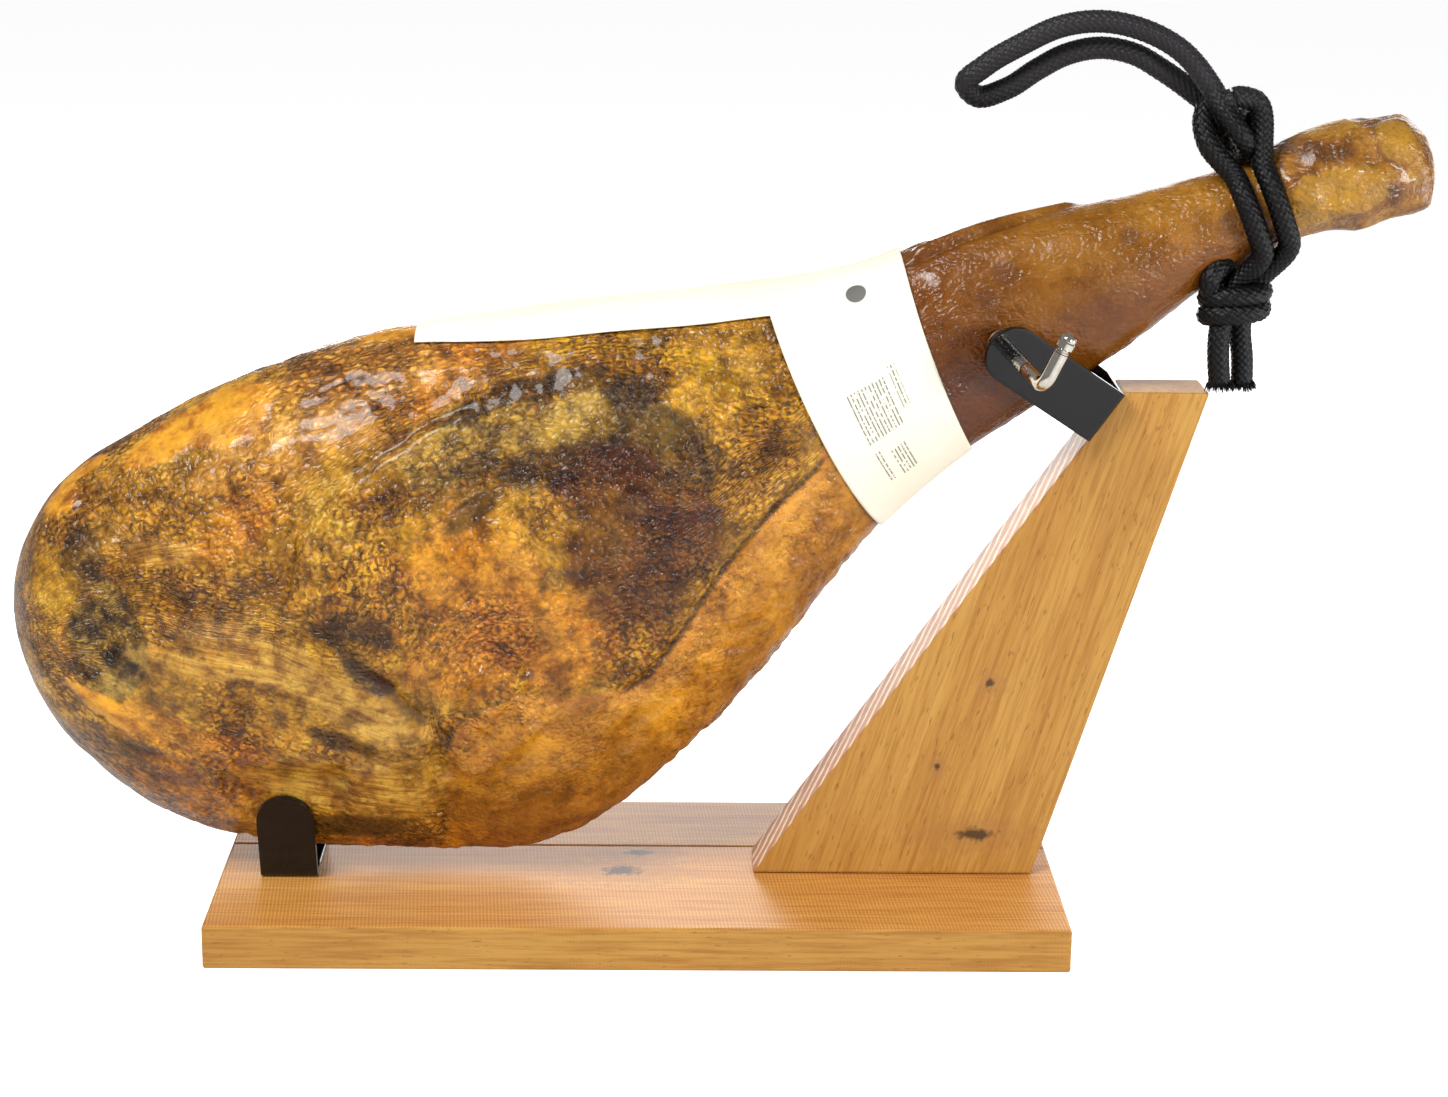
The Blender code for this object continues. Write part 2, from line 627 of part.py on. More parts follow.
STRANDS = (                     # name, distance along the ham, turns where it lies on the skin,
    ("cord_strand_left", 0.617, (0.75, 2.20), (0.2605, -0.0100, 0.3800), (0.2685, -0.0140, 0.3045)),
    ("cord_strand_right", 0.630, (0.85, 2.25), (0.2725, -0.0100, 0.3860), (0.2810, -0.0120, 0.3030)),
    ("cord_strand_back", 0.618, (-0.80, -2.45), (0.2640, 0.0010, 0.3800), (0.2700, -0.0060, 0.3030)),
)                               # and the ends in the upper and the lower knot
CORD_ENDS = (
    ("cord_end_left", (0.2690, -0.0145, 0.2950), (0.2668, -0.0150, 0.2625)),
    ("cord_end_right", (0.2765, -0.0085, 0.2950), (0.2772, -0.0085, 0.2615)),
)


def resample(route, step):
    """Points at an even distance along a smooth curve through a route."""
    route = np.array(route)
    knots = np.concatenate([[0.0], np.cumsum(np.linalg.norm(np.diff(route, axis=0), axis=1))])
    fine = spline(knots, route, np.linspace(0.0, knots[-1], 400))
    lengths = np.concatenate([[0.0], np.cumsum(np.linalg.norm(np.diff(fine, axis=0), axis=1))])
    count = max(int(round(lengths[-1] / step)), 2) + 1
    even = np.linspace(0.0, lengths[-1], count)
    return np.stack([np.interp(even, lengths, fine[:, axis]) for axis in range(3)], axis=1)


def strand_route(along, turns, upper_end, lower_end):
    """A strand from one knot to the other that lies on the shank in between."""
    skin = ham_surface(along, np.linspace(turns[0], turns[1], 7), CORD_RADIUS + CORD_LIFT)
    return [upper_end, *skin, lower_end]


def add_knot(group, name, place, half_sizes, surface):
    """A knot as a smooth lump of its outer size."""
    shape = bmesh.new()
    bmesh.ops.create_uvsphere(shape, u_segments=16, v_segments=10, radius=1.0)
    bmesh.ops.scale(shape, vec=half_sizes, verts=shape.verts)
    item = add_object(group, name, mesh_from_bmesh(name, shape), surface)
    item.location = place
    return item


def build_cord(group, cutters):
    """The loop, the strands round the shank, the two knots and the two cut ends."""
    cord = material("braided cord", CORD_BLACK, 0.9)
    room = []
    for name, (place, half_sizes) in (("cord_knot_upper", UPPER_KNOT), ("cord_knot_lower", LOWER_KNOT)):
        add_knot(group, name, place, half_sizes, cord)
        wider = [size + GAP for size in half_sizes]
        room.append(add_knot(cutters, name + "_room", place, wider, None))
    routes = {"cord_loop": (LOOP_ROUTE, room[:1])}
    for name, along, turns, upper_end, lower_end in STRANDS:
        routes[name] = (strand_route(along, turns, upper_end, lower_end), room)
    for name, top, bottom in CORD_ENDS:
        routes[name] = ((top, bottom), room[1:])
    for name, (route, ends) in routes.items():
        tube = poly_tube(name, resample(route, CORD_POINT_STEP), CORD_RADIUS)
        item = mesh_from_curve(group, tube, Matrix.Identity(4), cord)
        for cutter in ends:
            cut(item, cutter)


def main():
    clear_scene()
    group = collection("cured ham in its stand")
    cutters = collection("cutters")
    wood = material("oiled beech", BEECH, 0.45)
    black = material("black painted steel", STEEL_BLACK, 0.35)
    metal = material("nickel plated steel", NICKEL, 0.2, 1.0)
    build_ham(group)
    build_sleeve(group)
    build_base(group, wood)
    build_post(group, wood)
    build_bracket(group, "cradle", CRADLE_ARM, CRADLE_FLARE, cradle_place(), black)
    build_screw_heads(group, "cradle", cradle_place(), metal)
    clamp = build_bracket(group, "clamp", CLAMP_ARM, CLAMP_FLARE, clamp_place(), black)
    build_screw_heads(group, "clamp", clamp_place(), metal)
    build_clamp_screw(group, cutters, clamp, metal)
    build_cord(group, cutters)


main()
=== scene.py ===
# %% [markdown]
# # A cured ham in its stand
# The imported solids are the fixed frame: the stand's planks, the post, the clamp and plain forms
# of everything soft. This script dresses them. Each step says what the piece is on the real
# object, how it could be made, and why it is made this way.

# %% The frame
import math

import bpy
import numpy as np
from mathutils import Matrix, Vector
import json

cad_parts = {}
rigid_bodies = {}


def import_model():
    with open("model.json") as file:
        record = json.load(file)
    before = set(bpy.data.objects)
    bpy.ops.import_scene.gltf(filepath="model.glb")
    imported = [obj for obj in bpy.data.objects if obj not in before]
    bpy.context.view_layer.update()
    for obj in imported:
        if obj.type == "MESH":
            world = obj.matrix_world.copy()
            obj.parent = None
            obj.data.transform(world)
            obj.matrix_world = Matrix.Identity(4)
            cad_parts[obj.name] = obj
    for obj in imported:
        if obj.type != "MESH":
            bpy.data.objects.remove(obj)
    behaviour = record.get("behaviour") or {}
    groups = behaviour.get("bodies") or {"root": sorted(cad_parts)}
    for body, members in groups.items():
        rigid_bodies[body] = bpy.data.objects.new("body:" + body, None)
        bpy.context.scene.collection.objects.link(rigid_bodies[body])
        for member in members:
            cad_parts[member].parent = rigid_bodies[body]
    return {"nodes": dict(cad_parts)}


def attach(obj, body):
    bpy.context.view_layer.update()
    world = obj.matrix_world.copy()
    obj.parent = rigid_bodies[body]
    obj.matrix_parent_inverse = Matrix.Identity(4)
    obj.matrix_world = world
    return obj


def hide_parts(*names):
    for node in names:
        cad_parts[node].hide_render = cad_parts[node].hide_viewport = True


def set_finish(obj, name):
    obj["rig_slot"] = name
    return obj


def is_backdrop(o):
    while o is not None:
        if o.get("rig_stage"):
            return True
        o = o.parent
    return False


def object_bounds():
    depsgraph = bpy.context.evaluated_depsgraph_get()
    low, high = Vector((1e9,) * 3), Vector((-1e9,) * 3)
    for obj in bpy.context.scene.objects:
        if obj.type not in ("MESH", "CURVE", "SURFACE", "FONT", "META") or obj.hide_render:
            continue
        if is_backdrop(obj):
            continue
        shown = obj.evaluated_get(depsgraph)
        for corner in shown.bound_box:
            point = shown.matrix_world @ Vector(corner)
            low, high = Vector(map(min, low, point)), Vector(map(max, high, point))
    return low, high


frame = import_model()
cad_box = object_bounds()
nodes = frame["nodes"]
print("solids:", len(nodes), "box:", [tuple(round(v, 4) for v in corner) for corner in cad_box])

# %% [markdown]
# ## Camera
# A product shot is taken from a little above with a long lens, so that the stand's edges stay
# almost parallel. The camera is aimed by three angles rather than at a target, because a slight
# roll can then be set too.

# %% Camera
PITCH, YAW, ROLL = 15.28, -1.33, 0.81       # degrees down, left and clockwise


def camera_axes(pitch, yaw, roll):
    """Right, up and backward: level axes tipped by the pitch, turned by the yaw, then rolled."""
    ahead = Vector((0.0, math.cos(pitch), -math.sin(pitch)))
    up = Vector((0.0, math.sin(pitch), math.cos(pitch)))
    turn = Matrix.Rotation(yaw, 3, "Z")
    right, up, ahead = turn @ Vector((1.0, 0.0, 0.0)), turn @ up, turn @ ahead
    rolled_right = math.cos(roll) * right + math.sin(roll) * up
    rolled_up = math.cos(roll) * up - math.sin(roll) * right
    return Matrix((rolled_right, rolled_up, -ahead)).transposed()


scene = bpy.context.scene
camera_data = bpy.data.cameras.new("product camera")
camera_data.lens = 75.06
camera_data.sensor_width = 36.0
camera = bpy.data.objects.new("product camera", camera_data)
scene.collection.objects.link(camera)
axes = camera_axes(*(math.radians(angle) for angle in (PITCH, YAW, ROLL)))
camera.matrix_world = Matrix.Translation((0.007, -1.376, 0.555)) @ axes.to_4x4()
scene.camera = camera
scene.view_settings.view_transform = "Standard"
print("camera at", tuple(round(v, 3) for v in camera.matrix_world.translation))

# %% [markdown]
# ## Curves, grids and noise
# Every soft shape here is a grid of points computed with numpy as a function of two numbers:
# along and round. A few helpers serve them all: a smooth curve through a few knots, a mesh over
# a grid, and a soft random field for whatever is uneven.

# %% A smooth curve through knots
def spline(knots, values, at):
    """Cubic pieces that share their slopes: the value plus shares of the rise and both slopes."""
    knots, values = np.asarray(knots, float), np.asarray(values, float)
    slopes = np.gradient(values, knots, axis=0)
    at = np.clip(np.asarray(at, float), knots[0], knots[-1])
    left = np.clip(np.searchsorted(knots, at, side="right") - 1, 0, len(knots) - 2)
    span = knots[left + 1] - knots[left]
    t = (at - knots[left]) / span
    if values.ndim > 1:
        t, span = t[..., None], span[..., None]
    rise = values[left + 1] - values[left]
    start, end = slopes[left] * span, slopes[left + 1] * span
    square, cube = 3 * rise - 2 * start - end, start + end - 2 * rise
    return values[left] + t * start + t ** 2 * square + t ** 3 * cube


# %% A mesh over a grid
def new_piece(name, vertices, faces):
    """An object in the scene with a mesh of these vertices and faces."""
    mesh = bpy.data.meshes.new(name)
    mesh.from_pydata(np.reshape(vertices, (-1, 3)).tolist(), [], faces)
    piece = bpy.data.objects.new(name, mesh)
    scene.collection.objects.link(piece)
    return piece


def quads(index):
    """The four corners of each cell of a grid of vertex numbers."""
    corners = [index[:-1, :-1], index[:-1, 1:], index[1:, 1:], index[1:, :-1]]
    return np.stack(corners, axis=-1).reshape(-1, 4).tolist()


def numbered(rows, columns, around):
    """Vertex numbers of a grid; around repeats the first column after the last."""
    index = np.arange(rows * columns).reshape(rows, columns)
    return np.concatenate([index, index[:, :1]], axis=1) if around else index


def grid_mesh(name, points, around=False, poles=(None, None)):
    """Quads over a rows x columns grid; around joins the last column to the first.

    A pole is a point that closes the first or the last row with a fan of triangles.
    """
    index = numbered(*points.shape[:2], around)
    faces = quads(index)
    vertices = points.reshape(-1, 3)
    for pole, ring, order in ((poles[0], index[0], 1), (poles[1], index[-1], -1)):
        if pole is not None:
            tip = len(vertices)
            vertices = np.concatenate([vertices, np.reshape(pole, (1, 3))])
            pair = np.stack([ring[:-1], ring[1:]], axis=1)[:, ::-order]
            faces += np.concatenate([pair, np.full((len(pair), 1), tip)], axis=1).tolist()
    piece = new_piece(name, vertices, faces)
    piece.data.shade_smooth()
    return piece


def dress(piece, body, slot, *replaced):
    """Let a piece ride on its body, take its slot and stand for the plain solids."""
    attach(piece, body)
    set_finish(piece, slot)
    if replaced:
        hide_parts(*replaced)
    piece.data.update()
    print(piece.name, "faces:", len(piece.data.polygons))
    return piece


def paint(piece, name, values):
    """Store a number or three a vertex under a name that a material can read; poles repeat the last."""
    width = values.shape[2] if values.ndim == 3 else 1
    layer = piece.data.attributes.new(name, "FLOAT_VECTOR" if width == 3 else "FLOAT", "POINT")
    flat = np.asarray(values, np.float32).reshape(-1, width)
    extra = len(piece.data.vertices) - len(flat)
    flat = np.concatenate([flat, np.repeat(flat[-1:], extra, axis=0)])
    layer.data.foreach_set("vector" if width == 3 else "value", flat.ravel())


# %% A soft random field
LATTICE_SIDE, LAYER_SHARE = 48, 0.55        # random numbers a side; each noise's height to the one before
LATTICE = np.random.default_rng(7).random((LATTICE_SIDE,) * 3).astype(np.float32)


def noise(place, size, seed=0):
    """Random numbers from 0 to 1 on a lattice of that size, blended with eased shares between."""
    place = np.asarray(place, float) / size + 7.31 * seed
    cell = np.floor(place).astype(int)
    share = place - cell
    share = share ** 3 * (share * (share * 6 - 15) + 10)
    low, high = cell % LATTICE_SIDE, (cell + 1) % LATTICE_SIDE
    total = 0.0
    for corner in np.ndindex(2, 2, 2):
        at = [np.where(side, high[..., k], low[..., k]) for k, side in enumerate(corner)]
        weight = [share[..., k] if side else 1 - share[..., k] for k, side in enumerate(corner)]
        total = total + LATTICE[at[0], at[1], at[2]] * weight[0] * weight[1] * weight[2]
    return total


def layered(place, size, octaves=3, seed=0, shape=None):
    """A sum of noises, each half the size and about half the height of the one before."""
    total, weight = 0.0, 0.0
    for octave in range(octaves):
        layer = noise(place, size / 2 ** octave, seed + octave)
        if shape == "ridged":
            layer = 1 - np.abs(2 * layer - 1)
        elif shape == "billowed":
            layer = np.abs(2 * layer - 1)
        total = total + layer * LAYER_SHARE ** octave
        weight += LAYER_SHARE ** octave
    return total / weight


def ease(low, high, value):
    """0 below low, 1 above high and an S-shaped passage in between."""
    share = np.clip((value - low) / (high - low), 0.0, 1.0)
    return share * share * (3 - 2 * share)


# %% [markdown]
# ## The ham's form
# A cured ham is a hind leg: a broad thigh that ends in the sawn hip joint, and a shank that
# narrows to the trotter. Its form is the same lofted surface as the solid's, so that it fits the
# cradle, the clamp, the sleeve and the cord. Two numbers place everything on it: the distance
# along its axis from the hip, and the turn round it, which is 0 on top and a quarter turn on
# the side that faces the camera.

# %% Form of the ham
HAM_STATIONS = (
    (-295.5, 150.0, 0.0, 40, 38, 26, 28, 2.0),
    (-280.0, 149.0, 0.0, 53, 53, 38, 40, 2.0),
    (-262.0, 145.0, 1.0, 71, 71, 46, 50, 1.9),
    (-243.0, 141.5, 2.0, 86, 87, 51, 56, 1.8),
    (-215.0, 141.5, 3.0, 101, 102, 56, 63, 1.7),
    (-182.0, 145.0, 4.0, 113, 114, 60, 68, 1.6),
    (-145.0, 151.0, 5.0, 121, 122, 62, 71, 1.7),
    (-102.0, 159.0, 8.0, 125, 131, 62, 72, 1.8),
    (-75.0, 165.0, 13.0, 124, 134, 60, 70, 1.9),
    (-23.0, 181.5, 25.0, 120, 109, 55, 63, 2.0),
    (25.0, 208.0, 30.0, 103, 85, 48, 54, 2.0),
    (71.5, 236.0, 31.0, 79, 62, 40, 44, 2.0),
    (117.0, 264.0, 30.0, 56, 50, 32, 35, 2.0),
    (164.0, 289.5, 26.5, 46, 44, 26, 28, 2.0),
    (212.0, 312.0, 24.0, 34, 35, 24, 25, 2.0),
    (260.0, 333.5, 24.0, 25, 22, 20, 20, 2.0),
    (284.0, 344.0, 22.0, 23, 20, 19, 19, 2.1),
    (308.0, 353.0, 20.0, 24, 19, 20, 20, 2.2),
    (333.0, 361.0, 18.0, 24, 21, 19, 19, 2.3),
    (361.0, 367.5, 15.0, 18, 20, 15, 15, 2.3),
)   # centre x, z, lean, reach up, down, to the front and to the back in mm, lower squareness
HAM_BUMPS = (
    (50, 1.50, 22, 26, 3.0), (50, 1.50, 10, 11, -6.0), (24, 0.75, 14, 22, 3.0),
    (150, 1.97, 60, 13, -4.0), (196, 2.45, 9, 34, -3.0), (172, 0.80, 58, 12, 2.5),
    (250, 1.45, 45, 26, 2.5), (553, 1.10, 22, 12, 1.2), (668, 1.75, 9, 12, 2.0),
    (690, 1.05, 8, 9, 1.6), (664, 3.05, 9, 12, 1.6), (684, -1.30, 11, 12, 2.0),
    (655, -2.30, 10, 10, 1.2),
)   # distance along in mm, turn, spread along, spread round and rise in mm
HIP_DOME, TROTTER_DOME = 0.026, 0.012
CRADLE_X, BASE_TOP, CRADLE_ARM, CRADLE_FLARE = -0.1668, 0.021, 0.0476, math.radians(18.5)
BAR_WIDTH, BAR_THICKNESS, BRACKET_DEPTH, GAP = 0.027, 0.003, 0.048, 0.0003

HAM_TABLE = np.array(HAM_STATIONS, float)
HAM_TABLE[:, [0, 1, 3, 4, 5, 6]] *= 0.001
HAM_TABLE[:, 2] = np.radians(HAM_TABLE[:, 2])
HAM_KNOTS = np.concatenate([[0.0], np.cumsum(np.hypot(*np.diff(HAM_TABLE[:, :2], axis=0).T))])
HAM_LENGTH = HAM_KNOTS[-1]


def dome(distance, length, power=2.2):
    """How full a section is near a rounded end: 0 at the tip, 1 past the dome's length."""
    inner = 1.0 - np.clip(distance / length, 0.0, 1.0)
    return (1.0 - inner ** power) ** (1.0 / power)


def cradle_room(x, z):
    """How far from the middle plane the ham may reach between the cradle's flared arms."""
    inside = BRACKET_DEPTH / 2 - BAR_THICKNESS / math.cos(CRADLE_FLARE) - 3 * GAP
    room = inside + np.maximum(z - BASE_TOP, 0.0) * math.tan(CRADLE_FLARE)
    beside = np.maximum(np.abs(x - CRADLE_X) - BAR_WIDTH / 2 - 0.014, 0.0)
    above = np.maximum(z - BASE_TOP - CRADLE_ARM - 0.010, 0.0)
    return room + 1.2 * beside + 1.0 * above


def ham_bumps(along, turn, reach):
    """Sum of the bumps: each falls off as a bell with distance along and round the skin."""
    height = np.zeros(np.broadcast(along, turn).shape)
    for place, bump_turn, length, width, rise in HAM_BUMPS:
        away = (along - place / 1000) / (length / 1000)
        swing = ((turn - bump_turn + math.pi) % (2 * math.pi) - math.pi) * reach / (width / 1000)
        height += rise / 1000 * np.exp(-away ** 2 - swing ** 2)
    return height


def ham_surface(along, turn, lift=0.0):
    """A point of the skin: the section's reach times cos and sin of the turn, each to a power.

    The lift moves it out along the section's normal, and the cradle's arms press it in.
    """
    along, turn = np.broadcast_arrays(np.asarray(along, float), np.asarray(turn, float))
    row = spline(HAM_KNOTS, HAM_TABLE, along)
    full = dome(along, HIP_DOME) * dome(HAM_LENGTH - along, TROTTER_DOME)
    up_side, front_side = np.cos(turn) >= 0, np.sin(turn) >= 0
    tall = np.where(up_side, row[..., 3], row[..., 4]) * full
    deep = np.where(front_side, row[..., 5], row[..., 6]) * full
    power = 2.0 / np.where(up_side, 2.0, row[..., 7])
    rise = np.sign(np.cos(turn)) * tall * np.abs(np.cos(turn)) ** power
    out = np.sign(np.sin(turn)) * deep * np.abs(np.sin(turn)) ** power
    normal_rise = np.cos(turn) / np.maximum(tall, 1e-4)
    normal_out = np.sin(turn) / np.maximum(deep, 1e-4)
    reach = np.sqrt(np.maximum(tall * deep, 1e-8))
    offset = lift + ham_bumps(along, turn, reach) * np.minimum(full, 1.0)
    scale = offset / np.maximum(np.hypot(normal_rise, normal_out), 1e-9)
    rise, out = rise + normal_rise * scale, out + normal_out * scale
    x = row[..., 0] - np.sin(row[..., 2]) * rise
    z = row[..., 1] + np.cos(row[..., 2]) * rise
    first, second = np.abs(out), cradle_room(x, z)
    share = np.clip(0.5 + 0.5 * (second - first) / 0.004, 0.0, 1.0)
    pressed = second + (first - second) * share - 0.004 * share * (1.0 - share)
    return np.stack([x, -np.sign(out) * pressed, z], axis=-1)


print("ham length along its axis: %.0f mm" % (HAM_LENGTH * 1000))

# %% [markdown]
# ## Braided cord
# The cord is a 10.6 mm braided rope of black polyester: sixteen or twenty strands run round it
# both ways and pass over and under each other. A bump texture would leave its outline smooth,
# so the braid is real relief: two families of helices share the surface, and a checkerboard of
# their phases says which one is on top. The rope is stiff enough to keep the arch it was bent to.

# %% A rope along a route
CORD_RADIUS = 0.0053
BRAID_STRANDS = 10          # strands in each direction
BRAID_DEPTH = 0.0009        # from a strand's crown to the groove beside it
ROPE_SIDES = 60


def even_path(route, step):
    """Points an even distance apart on the smooth curve through the route's points."""
    route = np.array(route, float)
    knots = np.concatenate([[0.0], np.cumsum(np.linalg.norm(np.diff(route, axis=0), axis=1))])
    fine = spline(knots, route, np.linspace(0.0, knots[-1], 600))
    lengths = np.concatenate([[0.0], np.cumsum(np.linalg.norm(np.diff(fine, axis=0), axis=1))])
    even = np.linspace(0.0, lengths[-1], max(int(round(lengths[-1] / step)), 4) + 1)
    return np.stack([np.interp(even, lengths, fine[:, axis]) for axis in range(3)], axis=1), lengths[-1]


def unit(vectors):
    """Each vector divided by its own length."""
    return vectors / np.maximum(np.linalg.norm(vectors, axis=-1, keepdims=True), 1e-12)


def tube_grid(path, radius, reference):
    """Centre plus radius times (cos of the angle x side + sin x the side's normal).

    The side is the reference direction, less its share along the path.
    """
    ahead = unit(np.gradient(path, axis=0))
    side = unit(reference - (ahead @ reference)[:, None] * ahead)
    other = np.cross(ahead, side)
    angle = np.linspace(0.0, 2 * np.pi, radius.shape[1], endpoint=False)
    around = side[:, None] * np.cos(angle)[:, None] + other[:, None] * np.sin(angle)[:, None]
    return path[:, None] + around * radius[..., None]


def braid(rows, step, sides):
    """Height from 0 to 1 of a braid: the higher of two crossing families of round strands."""
    angle = np.arange(sides)[None] / sides
    along = np.arange(rows)[:, None] * step / (2 * np.pi * CORD_RADIUS)
    right, left = BRAID_STRANDS * (angle + along), BRAID_STRANDS * (angle - along)
    over = np.sin(np.pi * right) * np.sin(np.pi * left)
    first = 0.62 * np.abs(np.sin(np.pi * right)) + 0.38 * over
    second = 0.62 * np.abs(np.sin(np.pi * left)) - 0.38 * over
    return np.clip(np.maximum(first, second), 0.0, 1.0)


def rope_grid(route, reference, step=0.00055):
    """The braided skin of a rope along a route, how high each point stands, and its length."""
    path, length = even_path(route, step)
    height = braid(len(path), step, ROPE_SIDES)
    radius = CORD_RADIUS - BRAID_DEPTH * (1.0 - height)
    return tube_grid(path, radius, np.asarray(reference, float)), height, path, length


def rope_piece(name, ropes):
    """One piece of one or more ropes; each is closed by a point at both ends."""
    parts = []
    for route, reference in ropes:
        grid, height, path, length = rope_grid(route, reference)
        part = grid_mesh(name + "_part", grid, around=True, poles=(path[0], path[-1]))
        paint(part, "height", height)
        parts.append(part)
    piece = parts[0]
    if len(parts) > 1:
        with bpy.context.temp_override(active_object=piece, selected_editable_objects=parts):
            bpy.ops.object.join()
    piece.name = piece.data.name = name
    return piece, length


# %% [markdown]
# The carrying loop is the only free stretch of the cord: it leaves the upper knot, arches over
# to the left, turns back on itself and returns into the knot. Its whole length shows, so that is
# its real length.

# %% The carrying loop
LOOP_ROUTE = (
    (0.2640, -0.0100, 0.3860), (0.2563, -0.0110, 0.3990), (0.2413, -0.0095, 0.4160),
    (0.2244, -0.0075, 0.4246), (0.2060, -0.0055, 0.4280), (0.1879, -0.0040, 0.4255),
    (0.1702, -0.0025, 0.4170), (0.1541, 0.0000, 0.4068), (0.1460, 0.0030, 0.3985),
    (0.1515, 0.0065, 0.3925), (0.1653, 0.0070, 0.3960), (0.1789, 0.0060, 0.4050),
    (0.1912, 0.0050, 0.4118), (0.2077, 0.0045, 0.4152), (0.2228, 0.0040, 0.4125),
    (0.2359, 0.0040, 0.4054), (0.2534, 0.0030, 0.3934), (0.2630, 0.0020, 0.3860),
)
loop, loop_length = rope_piece("carrying_loop", [(LOOP_ROUTE, (0.0, 1.0, 0.0))])
dress(loop, "stand", "cord", "cord_loop")
print("loop length: %.0f mm" % (loop_length * 1000))

# %% [markdown]
# The cord is tied round the shank: two strands lie on its front and one behind it, between a
# knot above and a knot below. In the solids the knots are plain lumps. Here each is what it is,
# turns of the same rope: a bulging turn on the left and a bight on the right of the upper one,
# and two wraps round the lower one. Each strand starts inside its knot as one of those turns.

# %% Strands and knots
LOWER_CENTRE = np.array((0.2720, -0.0115, 0.3010))
CORD_LIFT = CORD_RADIUS + 0.0008


def on_skin(along, start, stop, count=7):
    """Points of a cord that lies on the skin at a distance along, from one turn to another."""
    return [tuple(point) for point in ham_surface(along, np.linspace(start, stop, count), CORD_LIFT)]


strand_left = [(0.2660, 0.0030, 0.3880), (0.2585, -0.0030, 0.3930), (0.2530, -0.0110, 0.3850),
               (0.2545, -0.0165, 0.3755), *on_skin(0.617, 0.80, 2.15), (0.2700, -0.0120, 0.3060),
               (0.2680, -0.0120, 0.2960)]
strand_right = [(0.2610, -0.0050, 0.3800), (0.2600, -0.0130, 0.3890), (0.2660, -0.0150, 0.3955),
                (0.2745, -0.0135, 0.3945), *on_skin(0.630, 0.80, 2.20), (0.2800, -0.0110, 0.3080),
                (0.2780, -0.0090, 0.2960)]
strand_back = [(0.2640, 0.0010, 0.3800), *on_skin(0.618, -0.80, -2.45), (0.2700, -0.0060, 0.3030)]
knot_leg = [(0.2571, -0.0115, 0.3975), (0.2625, -0.0165, 0.3880), (0.2690, -0.0180, 0.3795),
            (0.2740, -0.0120, 0.3720), (0.2720, -0.0020, 0.3680)]
knot_back = [(0.2560, -0.0100, 0.3760), (0.2570, 0.0030, 0.3780), (0.2660, 0.0085, 0.3810),
             (0.2755, 0.0030, 0.3840), (0.2775, -0.0080, 0.3850)]


def wrap(centre, reach, rise, start, stop, count=15):
    """A helix about the vertical: centre plus reach times cos and sin, rising evenly."""
    angle = np.linspace(start, stop, count)
    share = np.linspace(-0.5, 0.5, count)
    return [tuple(centre + np.array((reach[0] * math.cos(a), reach[1] * math.sin(a), rise * s)))
            for a, s in zip(angle, share)]


lower_wraps = wrap(LOWER_CENTRE, (0.0125, 0.0078), -0.0150, math.radians(60), math.radians(60 - 700))
lower_arch = [(0.2690, -0.0040, 0.3120), (0.2650, -0.0130, 0.3190), (0.2590, -0.0170, 0.3120),
              (0.2620, -0.0140, 0.3040)]
tail_left = [(0.2665, -0.0130, 0.2960), (0.2650, -0.0148, 0.2860), (0.2652, -0.0155, 0.2750),
             (0.2664, -0.0150, 0.2645)]
tail_right = [(0.2755, -0.0090, 0.2960), (0.2760, -0.0085, 0.2860), (0.2775, -0.0085, 0.2750),
              (0.2780, -0.0088, 0.2635)]
ALONG_SHANK, SIDEWAYS, UPRIGHT = (0.92, 0.0, 0.39), (0.0, 1.0, 0.0), (0.0, 0.0, 1.0)
TIED_ROPES = (
    ("cord_strand_left_rope", "cord_strand_left", [(strand_left, ALONG_SHANK)]),
    ("cord_strand_right_rope", "cord_strand_right", [(strand_right, ALONG_SHANK)]),
    ("cord_strand_back_rope", "cord_strand_back", [(strand_back, ALONG_SHANK)]),
    ("upper_knot_turns", "cord_knot_upper", [(knot_leg, (0.6, 0.5, 0.6)), (knot_back, UPRIGHT)]),
    ("lower_knot_turns", "cord_knot_lower", [(lower_wraps, UPRIGHT), (lower_arch, SIDEWAYS)]),
    ("cord_tail_left", "cord_end_left", [(tail_left, SIDEWAYS)]),
    ("cord_tail_right", "cord_end_right", [(tail_right, SIDEWAYS)]),
)   # piece, the plain solid that it stands for, its routes and where each one's first strand faces
cord_rest = [dress(rope_piece(name, ropes)[0], "stand", "cord", solid) for name, solid, ropes in TIED_ROPES]

# %% [markdown]
# A braided cord that was cut and not sealed opens at its ends: the yarns stand out as a short
# tuft. Each yarn is a thin four-sided taper, so that a few hundred of them cost little.

